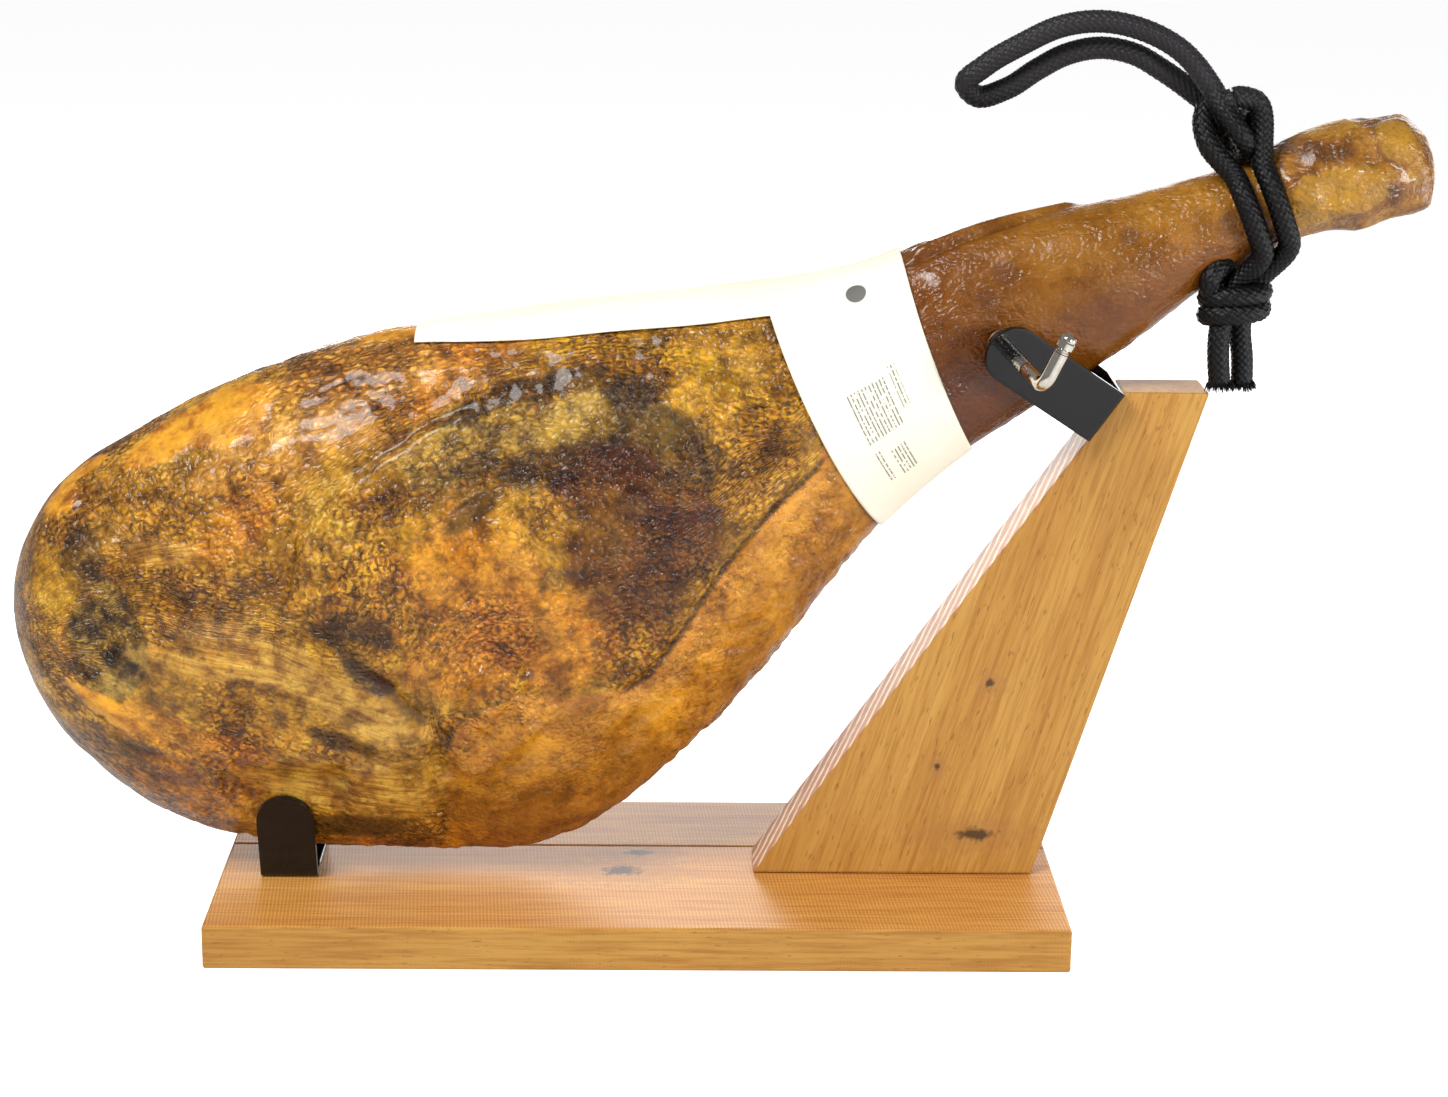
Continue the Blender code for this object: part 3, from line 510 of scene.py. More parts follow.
# %% Frayed ends
def tuft(name, tip, down, count, seed):
    """Thin tapers from a disc at the tip, each leaning outwards by its place and by chance."""
    rng = np.random.default_rng(seed)
    down = unit(np.array(down))
    side = unit(np.cross(down, (0.0, 1.0, 0.0)))
    other = np.cross(down, side)
    spread = np.sqrt(rng.random(count)) * CORD_RADIUS * 0.9
    angle = rng.random(count) * 2 * np.pi
    outward = side * np.cos(angle)[:, None] + other * np.sin(angle)[:, None]
    root = np.array(tip) + outward * spread[:, None] - down * 0.0012
    length = 0.0026 + 0.0030 * rng.random(count)
    lean = 0.55 * spread / CORD_RADIUS + 0.35 * (rng.random(count) - 0.3)
    end = root + (down + outward * lean[:, None]) * length[:, None]
    corners = np.array([(1, 0), (0, 1), (-1, 0), (0, -1)], float) * 0.00028
    ring = side * corners[:, :1] + other * corners[:, 1:]
    middle = (root + end) / 2 + outward * 0.0004
    rings = [root[:, None] + ring, middle[:, None] + ring * 0.8, end[:, None] + ring * 0.3]
    points = np.concatenate(rings, axis=1)
    box = []
    for low in (0, 4):
        box += [(low + k, low + (k + 1) % 4, low + 4 + (k + 1) % 4, low + 4 + k) for k in range(4)]
    box += [(3, 2, 1, 0), (8, 9, 10, 11)]
    faces = (np.array(box)[None] + 12 * np.arange(count)[:, None, None]).reshape(-1, 4)
    piece = new_piece(name, points, faces.tolist())
    paint(piece, "height", rng.random(len(piece.data.vertices)) * 0.6)
    return piece


for name, end, down, seed in (("frayed_end_left", tail_left[-1], (0.1, 0.0, -1.0), 3),
                              ("frayed_end_right", tail_right[-1], (0.05, 0.0, -1.0), 5)):
    cord_rest.append(dress(tuft(name, end, down, 260, seed), "stand", "cord"))

# %% [markdown]
# ## Where things are on the skin
# The meat side of a ham is a map: fat, dried lean, bone, furrows, and the border where the rind
# begins. Each is placed by a distance along the ham and a turn round it, and measured in real
# millimetres over the skin. A patch is an ellipse with a ragged edge, and a line is the distance
# to a broken line, so both follow the form wherever it curves.

# %% The grid of the skin
def skin_grid():
    """Distances along and turns round, closer together where the form or the eye needs it."""
    hip = HIP_DOME * (1 - np.cos(np.linspace(0.0, np.pi / 2, 15)))[1:-1]
    thigh = np.linspace(HIP_DOME, 0.420, 288)
    shank = np.linspace(0.420, HAM_LENGTH - TROTTER_DOME, 112)[1:]
    end = HAM_LENGTH - TROTTER_DOME * (1 - np.cos(np.linspace(np.pi / 2, 0.0, 10)))[1:-1]
    front = np.linspace(-0.50, 3.45, 176)
    rear = np.linspace(3.45, 2 * np.pi - 0.50, 58)[1:-1]
    return np.concatenate([hip, thigh, shank, end])[:, None], np.concatenate([front, rear])[None, :]


along, turn = skin_grid()
bare = ham_surface(along, turn)
rows_at = spline(HAM_KNOTS, HAM_TABLE, along)
tall = np.where(np.cos(turn) >= 0, rows_at[..., 3], rows_at[..., 4])
deep = np.where(np.sin(turn) >= 0, rows_at[..., 5], rows_at[..., 6])
reach = np.hypot(tall * np.sin(turn), deep * np.cos(turn))      # metres of skin to a radian
ragged = layered(bare, 0.030, 4, seed=3) - 0.5
wander = layered(bare, 0.022, 3, seed=9) - 0.5
print("skin grid:", bare.shape[:2])


def swing(turn_from):
    """Turn from a place, the short way round."""
    return (turn - turn_from + math.pi) % (2 * math.pi) - math.pi


def patch(places, rough=0.5, soft=0.5):
    """How much each point is in one of the ellipses: (along, turn, half length, half width, slant).

    Lengths are in millimetres, the slant in degrees; the edge wanders by the rough share.
    """
    total = np.zeros(bare.shape[:2])
    for place, place_turn, length, width, slant in places:
        ahead = along * 1000 - place
        round_ = swing(place_turn) * reach * 1000
        c, s = math.cos(math.radians(slant)), math.sin(math.radians(slant))
        far = np.hypot((ahead * c + round_ * s) / length, (round_ * c - ahead * s) / width)
        total = np.maximum(total, 1 - ease(1 - soft, 1 + soft, far + rough * 2 * ragged))
    return total


def beside(px, py, kx, ky):
    """Distance to a broken line, the same signed by side (left is above 0), and the share passed.

    Beyond the line's ends the signed one is measured square to the end pieces drawn on, so that
    it has no jump there.
    """
    nearest = np.full(np.shape(px), np.inf)
    across = np.zeros(np.shape(px))
    share = np.zeros(np.shape(px))
    count = len(kx) - 1
    for k in range(count):
        dx, dy, ox, oy = kx[k + 1] - kx[k], ky[k + 1] - ky[k], px - kx[k], py - ky[k]
        passed = (ox * dx + oy * dy) / (dx * dx + dy * dy + 1e-12)
        t = np.clip(passed, 0, 1)
        far = np.hypot(ox - t * dx, oy - t * dy)
        square = (dx * oy - dy * ox) / np.hypot(dx, dy)
        beyond = ((passed < 0) & (k == 0)) | ((passed > 1) & (k == count - 1))
        share = np.where(far < nearest, (k + t) / count, share)
        across = np.where(far < nearest, np.where(beyond, square, np.sign(square) * far), across)
        nearest = np.minimum(nearest, far)
    return nearest, across, share


def line(points, stray=0.0):
    """The same in millimetres of skin, for a broken line through (along, turn) points."""
    ahead = along * 1000 + stray * 2 * wander
    round_ = turn * reach * 1000 + stray * 2 * ragged
    return beside(ahead, round_, [p[0] for p in points], [p[1] * reach * 1000 for p in points])


def groove(points, width, stray=3.0, fade=0.15):
    """A bell across a line, faded out at both of its ends."""
    far, _, share = line(points, stray)
    return np.exp(-(far / width) ** 2) * ease(0.0, fade, share) * ease(0.0, fade, 1 - share)

# %% Flow of the wrinkles
GUIDES = (
    ((8, 0.75), (60, 0.50), (150, 0.48), (258, 0.42), (385, 0.45)),
    ((50, 0.95), (100, 0.98), (140, 0.92), (190, 0.72), (230, 0.64)),
    ((100, 1.30), (138, 1.34), (147, 1.17), (163, 1.03), (190, 0.90), (222, 0.81), (283, 0.76),
     (325, 0.77), (360, 0.92), (392, 1.30)),
    ((165, 1.50), (180, 1.25), (205, 1.10), (240, 1.03), (280, 1.03), (310, 1.15), (330, 1.35)),
    ((78, 1.49), (104, 1.58), (132, 1.69), (165, 1.90), (193, 2.11)),
    ((196, 2.10), (206, 1.91), (224, 1.79), (250, 1.84), (284, 1.86)),
    ((262, 2.16), (305, 2.03), (342, 1.88), (389, 1.77), (402, 1.72)),
    ((30, 2.10), (100, 2.35), (190, 2.55), (300, 2.75)),
)   # broken lines that the skin's wrinkles run beside, as (along, turn)
LEAN = math.radians(24.0)


def flow_field(place):
    """Coordinates that bend with the wrinkles: along the ham, across the nearest guides, and Y.

    Across is the mean of the signed distances to the guides, each weighted by one over its cube.
    """
    lean = np.array(((math.cos(LEAN), -math.sin(LEAN)), (math.sin(LEAN), math.cos(LEAN))))
    ahead, up = np.moveaxis(place[..., [0, 2]] @ lean, -1, 0)
    total, weight = 0.0, 0.0
    for guide in GUIDES:
        knots = np.reshape([ham_surface(at / 1000, at_turn) for at, at_turn in guide], (-1, 3))
        kx, ky = (knots[:, [0, 2]] @ lean).T
        far, across, _ = beside(ahead, up, kx, ky)
        share = (far * far + 0.012 ** 2) ** -1.5
        total, weight = total + share * (across + ky.mean()), weight + share
    return np.stack([ahead, total / weight, place[..., 1]], axis=-1)


flow = flow_field(bare)
print("flow across runs from %.3f to %.3f m" % (flow[..., 1].min(), flow[..., 1].max()))

# %% Borders of the rind
BORDER = np.array(((0, 3.00), (150, 3.02), (186, 3.00), (191, 2.70), (197, 2.25), (204, 2.04), (218, 1.95),
                   (232, 1.92), (250, 2.02), (275, 2.15), (305, 2.03), (342, 1.88), (389, 1.78), (402, 1.60),
                   (412, 0.60), (420, -0.40), (430, -0.60)))
border_turn = np.interp(along * 1000, BORDER[:, 0], BORDER[:, 1])
below_border = (swing(0.0) % (2 * math.pi) - border_turn) * reach * 1000 + 5 * ragged
above_back = (2 * math.pi - 0.42 - swing(0.0) % (2 * math.pi)) * reach * 1000 + 16 * ragged
on_rear = np.sin(turn) < 0
shank_start = ease(404, 418, along * 1000)
rind = ease(-1.5, 2.5, np.where(on_rear, above_back, below_border))
rind = np.maximum(rind * ease(14, 30, along * 1000 + 20 * ragged), shank_start)
meat = 1.0 - rind
print("share of the skin that is rind: %.2f" % rind.mean())

# %% Patches and lines
STEP = ((136, 1.40), (141, 1.27), (147, 1.17), (163, 1.03), (190, 0.90), (222, 0.81), (262, 0.76))
RIND_EDGE = ((402, 1.72), (389, 1.77), (342, 1.88), (305, 2.03), (280, 2.14))
furrow = groove(((141, 1.42), (156, 1.57), (168, 1.75), (178, 1.85), (187, 1.95), (194, 2.06)), 5.0, 5)
crease = groove(((194, 2.05), (197, 2.30), (192, 2.60), (195, 3.05)), 4.0, 9)
border_line = groove((*RIND_EDGE, (262, 2.14)), 2.2, 1.5, 0.06)
step_line = groove(STEP, 2.6, 4)
low_furrow = groove(((105, 1.94), (123, 2.03), (149, 2.09), (176, 2.19)), 5.0, 5)
fold_one = groove(((197, 2.06), (203, 1.95), (212, 1.84), (224, 1.79)), 3.6, 2)
fold_two = groove(((213, 2.07), (219, 1.97), (230, 1.90), (240, 1.84)), 3.2, 2)
fold_three = groove(((200, 2.25), (212, 2.22), (226, 2.12), (238, 2.04)), 4.5, 3)
hip_rim = groove(((52, 1.92), (38, 1.80), (30, 1.62), (33, 1.40), (44, 1.26), (58, 1.22)), 3.0, 2.5)
shadow_groove = groove(((277, 2.26), (269, 2.32), (254, 2.45), (242, 2.66)), 6.0, 4, 0.3)
flap = groove(((455, 0.46), (468, 0.37), (499, 0.20), (535, -0.12), (552, -0.25)), 3.0, 1)
flap_side = groove(((455, 0.58), (468, 0.50), (499, 0.34), (535, 0.06)), 2.0, 1)
slit = groove(((170, 1.76), (176, 1.82), (183, 1.88)), 3.2, 2, 0.3)

hip = patch(((50, 1.56, 20, 27, 0),), 0.30, 0.16)
fat = patch(((97, 0.40, 40, 14, -6), (112, 0.53, 20, 9, 5), (30, 0.50, 12, 11, 0), (205, 0.10, 26, 10, 0),
             (52, 1.99, 22, 6, 20), (40, 0.26, 14, 7, 0)), 0.45, 0.22)
tan = patch(((215, 0.42, 85, 26, 0), (170, 0.72, 50, 20, -12), (130, 0.80, 34, 16, 0)), 0.7, 0.5)
pale = patch(((116, 1.64, 42, 15, 33), (160, 1.91, 34, 12, 33), (95, 1.66, 24, 9, 25),
              (150, 2.32, 46, 15, 10), (84, 1.10, 22, 6, 20)), 0.5, 0.4)
orange = patch(((225, 1.50, 34, 30, 20), (72, 2.12, 24, 18, 10), (100, 2.14, 24, 12, 10),
                (85, 2.50, 34, 20, 0), (120, 1.05, 24, 12, -20), (212, 1.72, 26, 22, 0),
                (258, 1.78, 22, 26, 0), (120, 2.85, 90, 12, 0), (238, 0.62, 30, 9, -20),
                (265, 0.45, 30, 9, 0)), 0.7, 0.5)
grey = patch(((240, 0.95, 40, 14, -8), (285, 0.93, 50, 13, 5), (325, 1.10, 22, 16, 20)), 0.5, 0.35)
dark = patch(((258, 0.79, 26, 6, -6), (300, 0.76, 34, 7, 2), (338, 0.92, 14, 14, 40),
              (284, 1.12, 36, 9, 6), (244, 1.03, 18, 6, -8), (176, 1.60, 20, 9, 40), (60, 2.18, 12, 6, 0),
              (150, 2.62, 30, 10, 0), (40, 1.00, 12, 14, 0), (330, 1.30, 24, 24, 20),
              (152, 2.08, 14, 5, 20), (235, 1.20, 16, 5, -20)), 0.7, 0.5)
purple = patch(((305, 1.28, 22, 16, 20), (318, 1.55, 26, 22, 60), (298, 1.74, 26, 18, 10),
                (284, 1.55, 16, 18, 0), (262, 2.60, 22, 9, 30), (208, 2.80, 16, 9, 0)), 0.75, 0.5)
LIME_STREAK = ((285, 0.42), (315, 0.46), (350, 0.70), (374, 1.04), (392, 1.32))
lime = np.exp(-(line(LIME_STREAK, 8)[0] / 9) ** 2)
spots = patch(((563, 1.07, 5, 5, 0), (507, 1.03, 6, 5, 0), (493, 1.19, 4, 4, 0), (474, 2.0, 10, 5, 0),
               (612, 1.5, 10, 6, 0)), 0.5, 0.6)
foot = ease(628, 645, along * 1000 + 14 * ragged)
knuckle = patch(((660, 1.62, 22, 12, 10), (690, 0.9, 8, 10, 0), (640, 1.95, 14, 8, 0), (676, 3.0, 16, 10, 0),
                 (670, -1.4, 18, 12, 0), (664, 0.3, 12, 8, 0)), 0.6, 0.4)

# %% [markdown]
# ## Relief of the skin
# A ham dries for months, so its fat stays plump while the lean shrinks: the meat side wrinkles
# along the fibres, the fat stands in small pebbles with creases between them, and the rind stays
# smooth. Grain comes from ridged noise drawn out along the fibres, pebbles from billowed noise,
# whose sharp valleys are their creases. What is finer than the grid is left to the material.

# %% Relief
def grain(across, stretch, seed, octaves=3, shape="ridged"):
    """Noise on the flow's coordinates, squeezed along the flow so that it draws out along it."""
    return layered(flow / (stretch, 1.0, 1.0), across, octaves, seed, shape)


def under_paper():
    """1 where the sleeve or its tongue lies on the skin."""
    near = swing(0.0)
    band = ease(392, 399, along * 1000) * (1 - ease(470, 477, along * 1000))
    tongue = ease(214, 224, along * 1000) * (1 - ease(400, 405, along * 1000)) * ease(-0.62, -0.55, near)
    front_edge = np.interp(along * 1000, (224, 400), (0.31, 0.63))
    return np.maximum(band, tongue * (1 - ease(-0.03, 0.04, near - front_edge)))


covered = under_paper()
step_side = line(STEP, 4)[1]
step_rise = np.exp(-(step_side / 16) ** 2) * np.tanh(step_side / 2.0)
step_rise = step_rise * ease(120, 142, along * 1000) * (1 - ease(215, 262, along * 1000))
wrinkles = grain(0.0085, 4.0, seed=31)
pebbles = grain(0.0120, 1.6, seed=41, shape="billowed")
fine_pebbles = grain(0.0070, 1.4, seed=43, octaves=2, shape="billowed")
fibres = grain(0.0045, 7.0, seed=51, octaves=2)
swells = layered(bare, 0.050, 3, seed=61)

smooth_spot = np.clip(fat + 0.8 * pale + 0.75 * grey + hip, 0, 1)
wrinkled = np.clip(0.35 + 0.65 * tan, 0, 1) * (1 - 0.8 * smooth_spot)
pebbled = np.clip(0.35 + 0.65 * orange + 0.35 * dark, 0, 1) * (1 - 0.75 * smooth_spot) * (1 - 0.5 * tan)
near_border = np.exp(-(np.maximum(below_border, 0) / 26) ** 2) * (along < 0.405) * ~on_rear
ridges = grain(0.0100, 8.0, seed=81)
lumps = layered(bare, 0.0110, 3, seed=83, shape="billowed") - 0.40
crinkles = layered(bare, 0.0075, 2, seed=85, shape="ridged") - 0.60
knobs = layered(bare, 0.030, 3, seed=71, shape="ridged") - 0.60
pores = patch(((231, 1.93, 3, 3, 0), (54, 2.12, 3, 3, 0), (47, 2.05, 2, 2, 0)), 0.1, 0.4)
on_ham = along < 0.41
under_rind = ease(40, 70, below_border) * ~on_rear * on_ham + on_rear * on_ham * 0.6
bare_rind, bare_shank = rind * (1 - shank_start), shank_start * (1 - foot)
RELIEF = (
    (3.2, meat * (swells - 0.5)), (2.4, meat * (wrinkles - 0.55) * wrinkled),
    (3.2, meat * (pebbles - 0.42) * pebbled), (0.9, meat * (fine_pebbles - 0.42) * pebbled),
    (0.7, meat * (fibres - 0.5) * np.clip(pale + 0.5 * grey, 0, 1)), (1.2, rind * (swells - 0.5)),
    (1.9, rind * (pebbles - 0.42) * near_border), (3.4, rind * (ridges - 0.58) * under_rind),
    (2.2, bare_rind * lumps), (1.1, bare_rind * crinkles), (1.1, bare_shank * lumps),
    (8.5, foot * knobs), (1.8, foot * knuckle),
    (2.3, step_rise), (-3.0, furrow), (-1.8, crease), (-1.5, border_line * meat), (-0.9, border_line),
    (-2.0, step_line), (-1.8, low_furrow), (4.2, fold_one), (3.8, fold_two), (2.8, fold_three),
    (2.4, hip_rim), (-2.2, shadow_groove), (-1.6, slit), (3.4, flap), (-1.9, flap_side),
    (0.7, fat), (-2.4, hip * (1 + 1.2 * (pebbles - 0.4))), (-0.5, spots), (-1.6, pores),
)   # height in millimetres and where it stands
relief = sum(height * where for height, where in RELIEF)
relief = np.clip(relief, -5.0, 2.9) * (1 - covered) - 0.3 * covered
points = ham_surface(along, turn, relief / 1000)
print("relief from %.1f to %.1f mm" % (relief.min(), relief.max()))

# %% The ham's mesh
poles = (ham_surface(0.0, 0.0), ham_surface(HAM_LENGTH, 0.0))
ham = grid_mesh("cured_ham_leg", points, around=True, poles=poles)
# Painted shade: this map darkens the colour in the valleys of the pebbles and wrinkles and along the furrows,
# creases and grooves.
hollow = ease(0.62, 0.30, pebbles * 0.55 + wrinkles * 0.45) * meat + furrow + 0.4 * crease + slit
hollow += 0.9 * border_line + 0.7 * step_line + 0.5 * (low_furrow + shadow_groove) + 0.8 * flap_side
# Painted highlight: this map gives the crests of the pebbles and wrinkles a lighter colour.
crest = ease(0.45, 0.75, pebbles * pebbled + wrinkles * wrinkled) * meat
# Painted shade: a dark line along the groove at the rind's border, which is too narrow for the grid.
seam = groove((*RIND_EDGE, (266, 2.14)), 1.5, 1.5, 0.08) * (1 - covered)
seam = np.clip(seam + 0.8 * groove(((196, 2.20), (204, 2.02), (218, 1.94), (232, 1.92)), 1.6, 2), 0, 1)
lean_skin = 0.25 + orange + 0.5 * dark + 0.6 * purple - 0.5 * tan - 0.6 * pale - 0.5 * grey
even_skin = rind * (0.50 - 0.22 * near_border) + 0.15 * shank_start
even_skin += 0.8 * fat + 0.35 * pale + 0.2 * (grey + hip)
MAPS = {
    "rind": rind, "fat": fat + 0.4 * hip_rim, "tan": tan, "pale": pale, "orange": orange, "grey": grey,
    # The dark and purple maps also take in the furrow and the slit: painted shade in those grooves.
    "dark": dark + 0.8 * furrow, "purple": purple + slit, "hip": hip, "lime": lime * meat, "spots": spots,
    "foot": foot, "knuckle": knuckle, "hollow": hollow, "crest": crest, "seam": seam, "shank": shank_start,
    "edge": np.where(on_rear, 1.0, below_border / 60), "toward_foot": (along * 1000 - 420) / 210,
    "underside": bare_shank * ease(1.15, 2.1, np.abs(swing(0.0))), "pebbled": lean_skin, "smooth": even_skin,
}
paint(ham, "flow", flow)
for name, values in MAPS.items():
    paint(ham, name, np.broadcast_to(np.clip(values, 0, 1), bare.shape[:2]))
dress(ham, "stand", "cured_ham", "ham")

# %% [markdown]
# ## Paper sleeve
# The sleeve is coated paper wrapped round the narrow part, with a long tongue along the top. It
# could be a cloth simulation, but stiff paper bends one way only and keeps its cut edges, so it
# is the skin's own surface lifted off it, with a slight wave along its free edges.

# %% The sleeve
TONGUE_COLUMNS, BAND_COLUMNS, BAND_ROWS, TONGUE_ROWS = 64, 170, 40, 110
SLEEVE_LEFT, SLEEVE_RIGHT = (0.4015, 0.0040, 0.0030), (0.4611, 0.0063, 0.0015)
TONGUE_END, TONGUE_FRONT, TONGUE_BACK = (0.2240, -0.0100), (0.31, 0.63), (-0.36, -0.55)
PAPER_THICKNESS, PAPER_LIFT = 0.0006, 0.0010


def sleeve_edge(edge, at):
    """Distance along the ham of an edge of the sleeve: a middle plus once and twice a turn."""
    return edge[0] + edge[1] * np.cos(at) + edge[2] * np.cos(2 * at)


across_tongue = np.linspace(0.0, 1.0, TONGUE_COLUMNS)
tongue_turns = TONGUE_BACK[1] + (TONGUE_FRONT[1] - TONGUE_BACK[1]) * across_tongue
rest_turns = np.linspace(TONGUE_FRONT[1], 2 * math.pi + TONGUE_BACK[1], BAND_COLUMNS)[1:-1]
sleeve_turns = np.concatenate([tongue_turns, rest_turns])
left_edge, right_edge = sleeve_edge(SLEEVE_LEFT, sleeve_turns), sleeve_edge(SLEEVE_RIGHT, sleeve_turns)
share = np.linspace(0.0, 1.0, BAND_ROWS)[:, None]
band_along = left_edge + (right_edge - left_edge) * share
wave = 0.0004 * np.sin(5 * sleeve_turns + 2.0) * np.abs(2 * share - 1) ** 6
band = ham_surface(band_along, sleeve_turns, PAPER_LIFT + wave)
run = np.linspace(0.0, 1.0, TONGUE_ROWS)[:-1, None]
front_side = TONGUE_FRONT[0] + (TONGUE_FRONT[1] - TONGUE_FRONT[0]) * run
back_side = TONGUE_BACK[0] + (TONGUE_BACK[1] - TONGUE_BACK[0]) * run
far_end = TONGUE_END[0] + TONGUE_END[1] * (across_tongue - 0.5)
tongue_along = far_end + (left_edge[:TONGUE_COLUMNS] - far_end) * run
tongue_at = back_side + (front_side - back_side) * across_tongue
ripple = 0.0005 * np.sin(tongue_along * 95) * np.abs(2 * across_tongue - 1) ** 3 * np.sin(np.pi * run)
tongue = ham_surface(tongue_along, tongue_at, PAPER_LIFT + ripple)


def sleeve_mesh():
    """The closed band and the tongue share one row of points; the paper gets its thickness outwards."""
    index = numbered(*band.shape[:2], True)
    strip = numbered(*tongue.shape[:2], False) + band.shape[0] * band.shape[1]
    strip = np.concatenate([strip, index[:1, :TONGUE_COLUMNS]], axis=0)
    vertices = np.concatenate([band.reshape(-1, 3), tongue.reshape(-1, 3)])
    piece = new_piece("paper_wrap", vertices, quads(index) + quads(strip))
    piece.data.shade_smooth()
    across = np.broadcast_to(share, band.shape[:2]).ravel()
    paint(piece, "across", np.concatenate([across, np.full(tongue_at.size, -1.0)]))
    at = np.broadcast_to(sleeve_turns, band.shape[:2]).ravel()
    paint(piece, "round", np.concatenate([at, tongue_at.ravel()]))
    return piece


sleeve = sleeve_mesh()
thick = sleeve.modifiers.new("paper thickness", "SOLIDIFY")
thick.thickness = PAPER_THICKNESS
thick.offset = 1.0
dress(sleeve, "stand", "paper", "paper_sleeve")

# %% [markdown]
# ## Brackets
# The cradle and the clamp are the same kind of part: a flat steel bar with round ends, bent into
# a U whose arms flare, then painted black. A bar is its centreline swept by its width, so the
# grid's rows follow the bends and each row narrows at the ends; Solidify gives the 3 mm and a
# small bevel the soft edge that paint leaves.

# %% Bars bent to a U
def bar_line(arm, flare):
    """Half the bent centreline as (out, up) points: seat, five-step bend, arm and its round end."""
    radius = 0.004 - BAR_THICKNESS / 2
    bend = math.pi / 2 - flare
    inset = math.cos(flare) - math.tan(flare) * (1 - math.sin(flare))
    start = BRACKET_DEPTH / 2 - BAR_THICKNESS / 2 * inset - radius * math.tan(bend / 2)
    angle = np.linspace(0.0, bend, 13)
    seat = np.stack([np.linspace(0.0, start, 10)[:-1], np.zeros(9)], axis=1)
    corner = np.stack([start + radius * np.sin(angle), radius * (1 - np.cos(angle))], axis=1)
    straight = arm - (corner[-1, 1] + BAR_THICKNESS / 2) / math.cos(flare)
    round_start = straight - BAR_WIDTH / 2
    stops = np.concatenate([np.linspace(0.0, round_start, 14)[1:],
                            round_start + BAR_WIDTH / 2 * np.sin(np.linspace(0, math.pi / 2, 22))[1:]])
    arms = corner[-1] + stops[:, None] * np.array((math.sin(flare), math.cos(flare)))
    width = np.full(len(seat) + len(corner) + len(stops), BAR_WIDTH / 2)
    width[-21:] *= np.cos(np.linspace(0, math.pi / 2, 22))[1:]
    return np.concatenate([seat, corner, arms]), np.maximum(width, 0.00005)


def bar_piece(name, arm, flare, place):
    """Sweep each point of the centreline by the bar's width there, on both sides of the seat."""
    half, width = bar_line(arm, flare)
    out = np.concatenate([-half[:0:-1, 0], half[:, 0]])
    up = np.concatenate([half[:0:-1, 1], half[:, 1]]) + GAP + BAR_THICKNESS / 2
    wide = np.concatenate([width[:0:-1], width])
    across = np.linspace(-1.0, 1.0, 17)
    points = np.stack(np.broadcast_arrays(across * wide[:, None], out[:, None], up[:, None]), axis=-1)
    turned = points @ np.array(place.to_3x3()).T + np.array(place.translation)
    piece = grid_mesh(name, turned)
    thick = piece.modifiers.new("bar thickness", "SOLIDIFY")
    thick.thickness = BAR_THICKNESS
    thick.offset = 0.0
    thick.use_even_offset = True
    soft = piece.modifiers.new("soft edges", "BEVEL")
    soft.width = 0.0004
    soft.segments = 2
    soft.limit_method = "ANGLE"
    soft.angle_limit = math.radians(50)
    return piece


POST_FOOT, POST_HEAD = Vector((0.0544, 0.0, BASE_TOP)), Vector((0.2225, 0.0, 0.2594))
slope = (POST_HEAD - POST_FOOT).normalized()
seat_out = Vector((-slope.z, 0.0, slope.x))
clamp_turn = Matrix((slope, seat_out.cross(slope), seat_out)).transposed().to_4x4()
clamp_place = Matrix.Translation(POST_HEAD - slope * BAR_WIDTH / 2) @ clamp_turn
cradle_place = Matrix.Translation((CRADLE_X, 0.0, BASE_TOP))
CLAMP_ARM, CLAMP_FLARE, CLAMP_HOLE = 0.074, math.radians(18.0), 0.0605
cradle = dress(bar_piece("cradle_bar", CRADLE_ARM, CRADLE_FLARE, cradle_place), "stand", "black_steel",
               "cradle")
clamp = dress(bar_piece("clamp_bar", CLAMP_ARM, CLAMP_FLARE, clamp_place), "stand", "black_steel", "clamp")

# %% [markdown]
# ## Screws
# Turned parts are one profile spun round an axis: each row of the grid is a circle at the
# profile's radius. The clamp's screw is a bent rod with a knob; its shaft shows fine thread, so
# its radius rises and falls along it.

# %% Turned parts
def spun(name, foot, axis, profile, sides=48):
    """Circles at the profile's (radius, height) points along an axis, closed by poles."""
    profile = np.array(profile, float)
    axis = np.array(axis, float) / np.linalg.norm(axis)
    side = unit(np.cross(axis, (0.3, 0.1, 0.9)))
    other = np.cross(axis, side)
    angle = np.linspace(0.0, 2 * np.pi, sides, endpoint=False)
    ring = side * np.cos(angle)[:, None] + other * np.sin(angle)[:, None]
    centres = np.array(foot) + profile[:, 1:] * axis
    points = centres[:, None] + ring[None] * profile[:, :1, None]
    return grid_mesh(name, points, around=True, poles=(centres[0], centres[-1]))


def sharp(piece, degrees=32):
    """Keep a turned part's steps crisp and its curves smooth."""
    piece.data.set_sharp_from_angle(angle=math.radians(degrees))
    return piece


HEAD_RADIUS, HEAD_RIM, HEAD_RISE, SLOT_DEPTH = 0.0037, 0.0008, 0.0013, 0.0008


def screw_head(name, foot, axis):
    """A domed head: a short rim, a dome, and a cross slot pressed into its top."""
    dome_angle = np.linspace(0.0, math.pi / 2, 26)
    profile = [(HEAD_RADIUS, 0.0)] + [(HEAD_RADIUS * math.cos(a), HEAD_RIM + HEAD_RISE * math.sin(a))
                                      for a in dome_angle[:-1]]
    piece = spun(name, foot, axis, profile, sides=96)
    places = np.zeros(3 * len(piece.data.vertices))
    piece.data.vertices.foreach_get("co", places)
    places, axis = places.reshape(-1, 3), np.array(axis, float) / np.linalg.norm(axis)
    side = unit(np.cross(axis, (0.3, 0.1, 0.9)))
    from_foot = places - np.array(foot)
    first, second = np.abs(from_foot @ side), np.abs(from_foot @ np.cross(axis, side))
    slot = ease(0.00045, 0.00030, np.minimum(first, second)) * ease(HEAD_RIM, 0.0010, from_foot @ axis)
    slot *= ease(0.0021, 0.0018, np.maximum(first, second))
    places -= axis * slot[:, None] * SLOT_DEPTH
    piece.data.vertices.foreach_set("co", places.ravel())
    return sharp(piece)


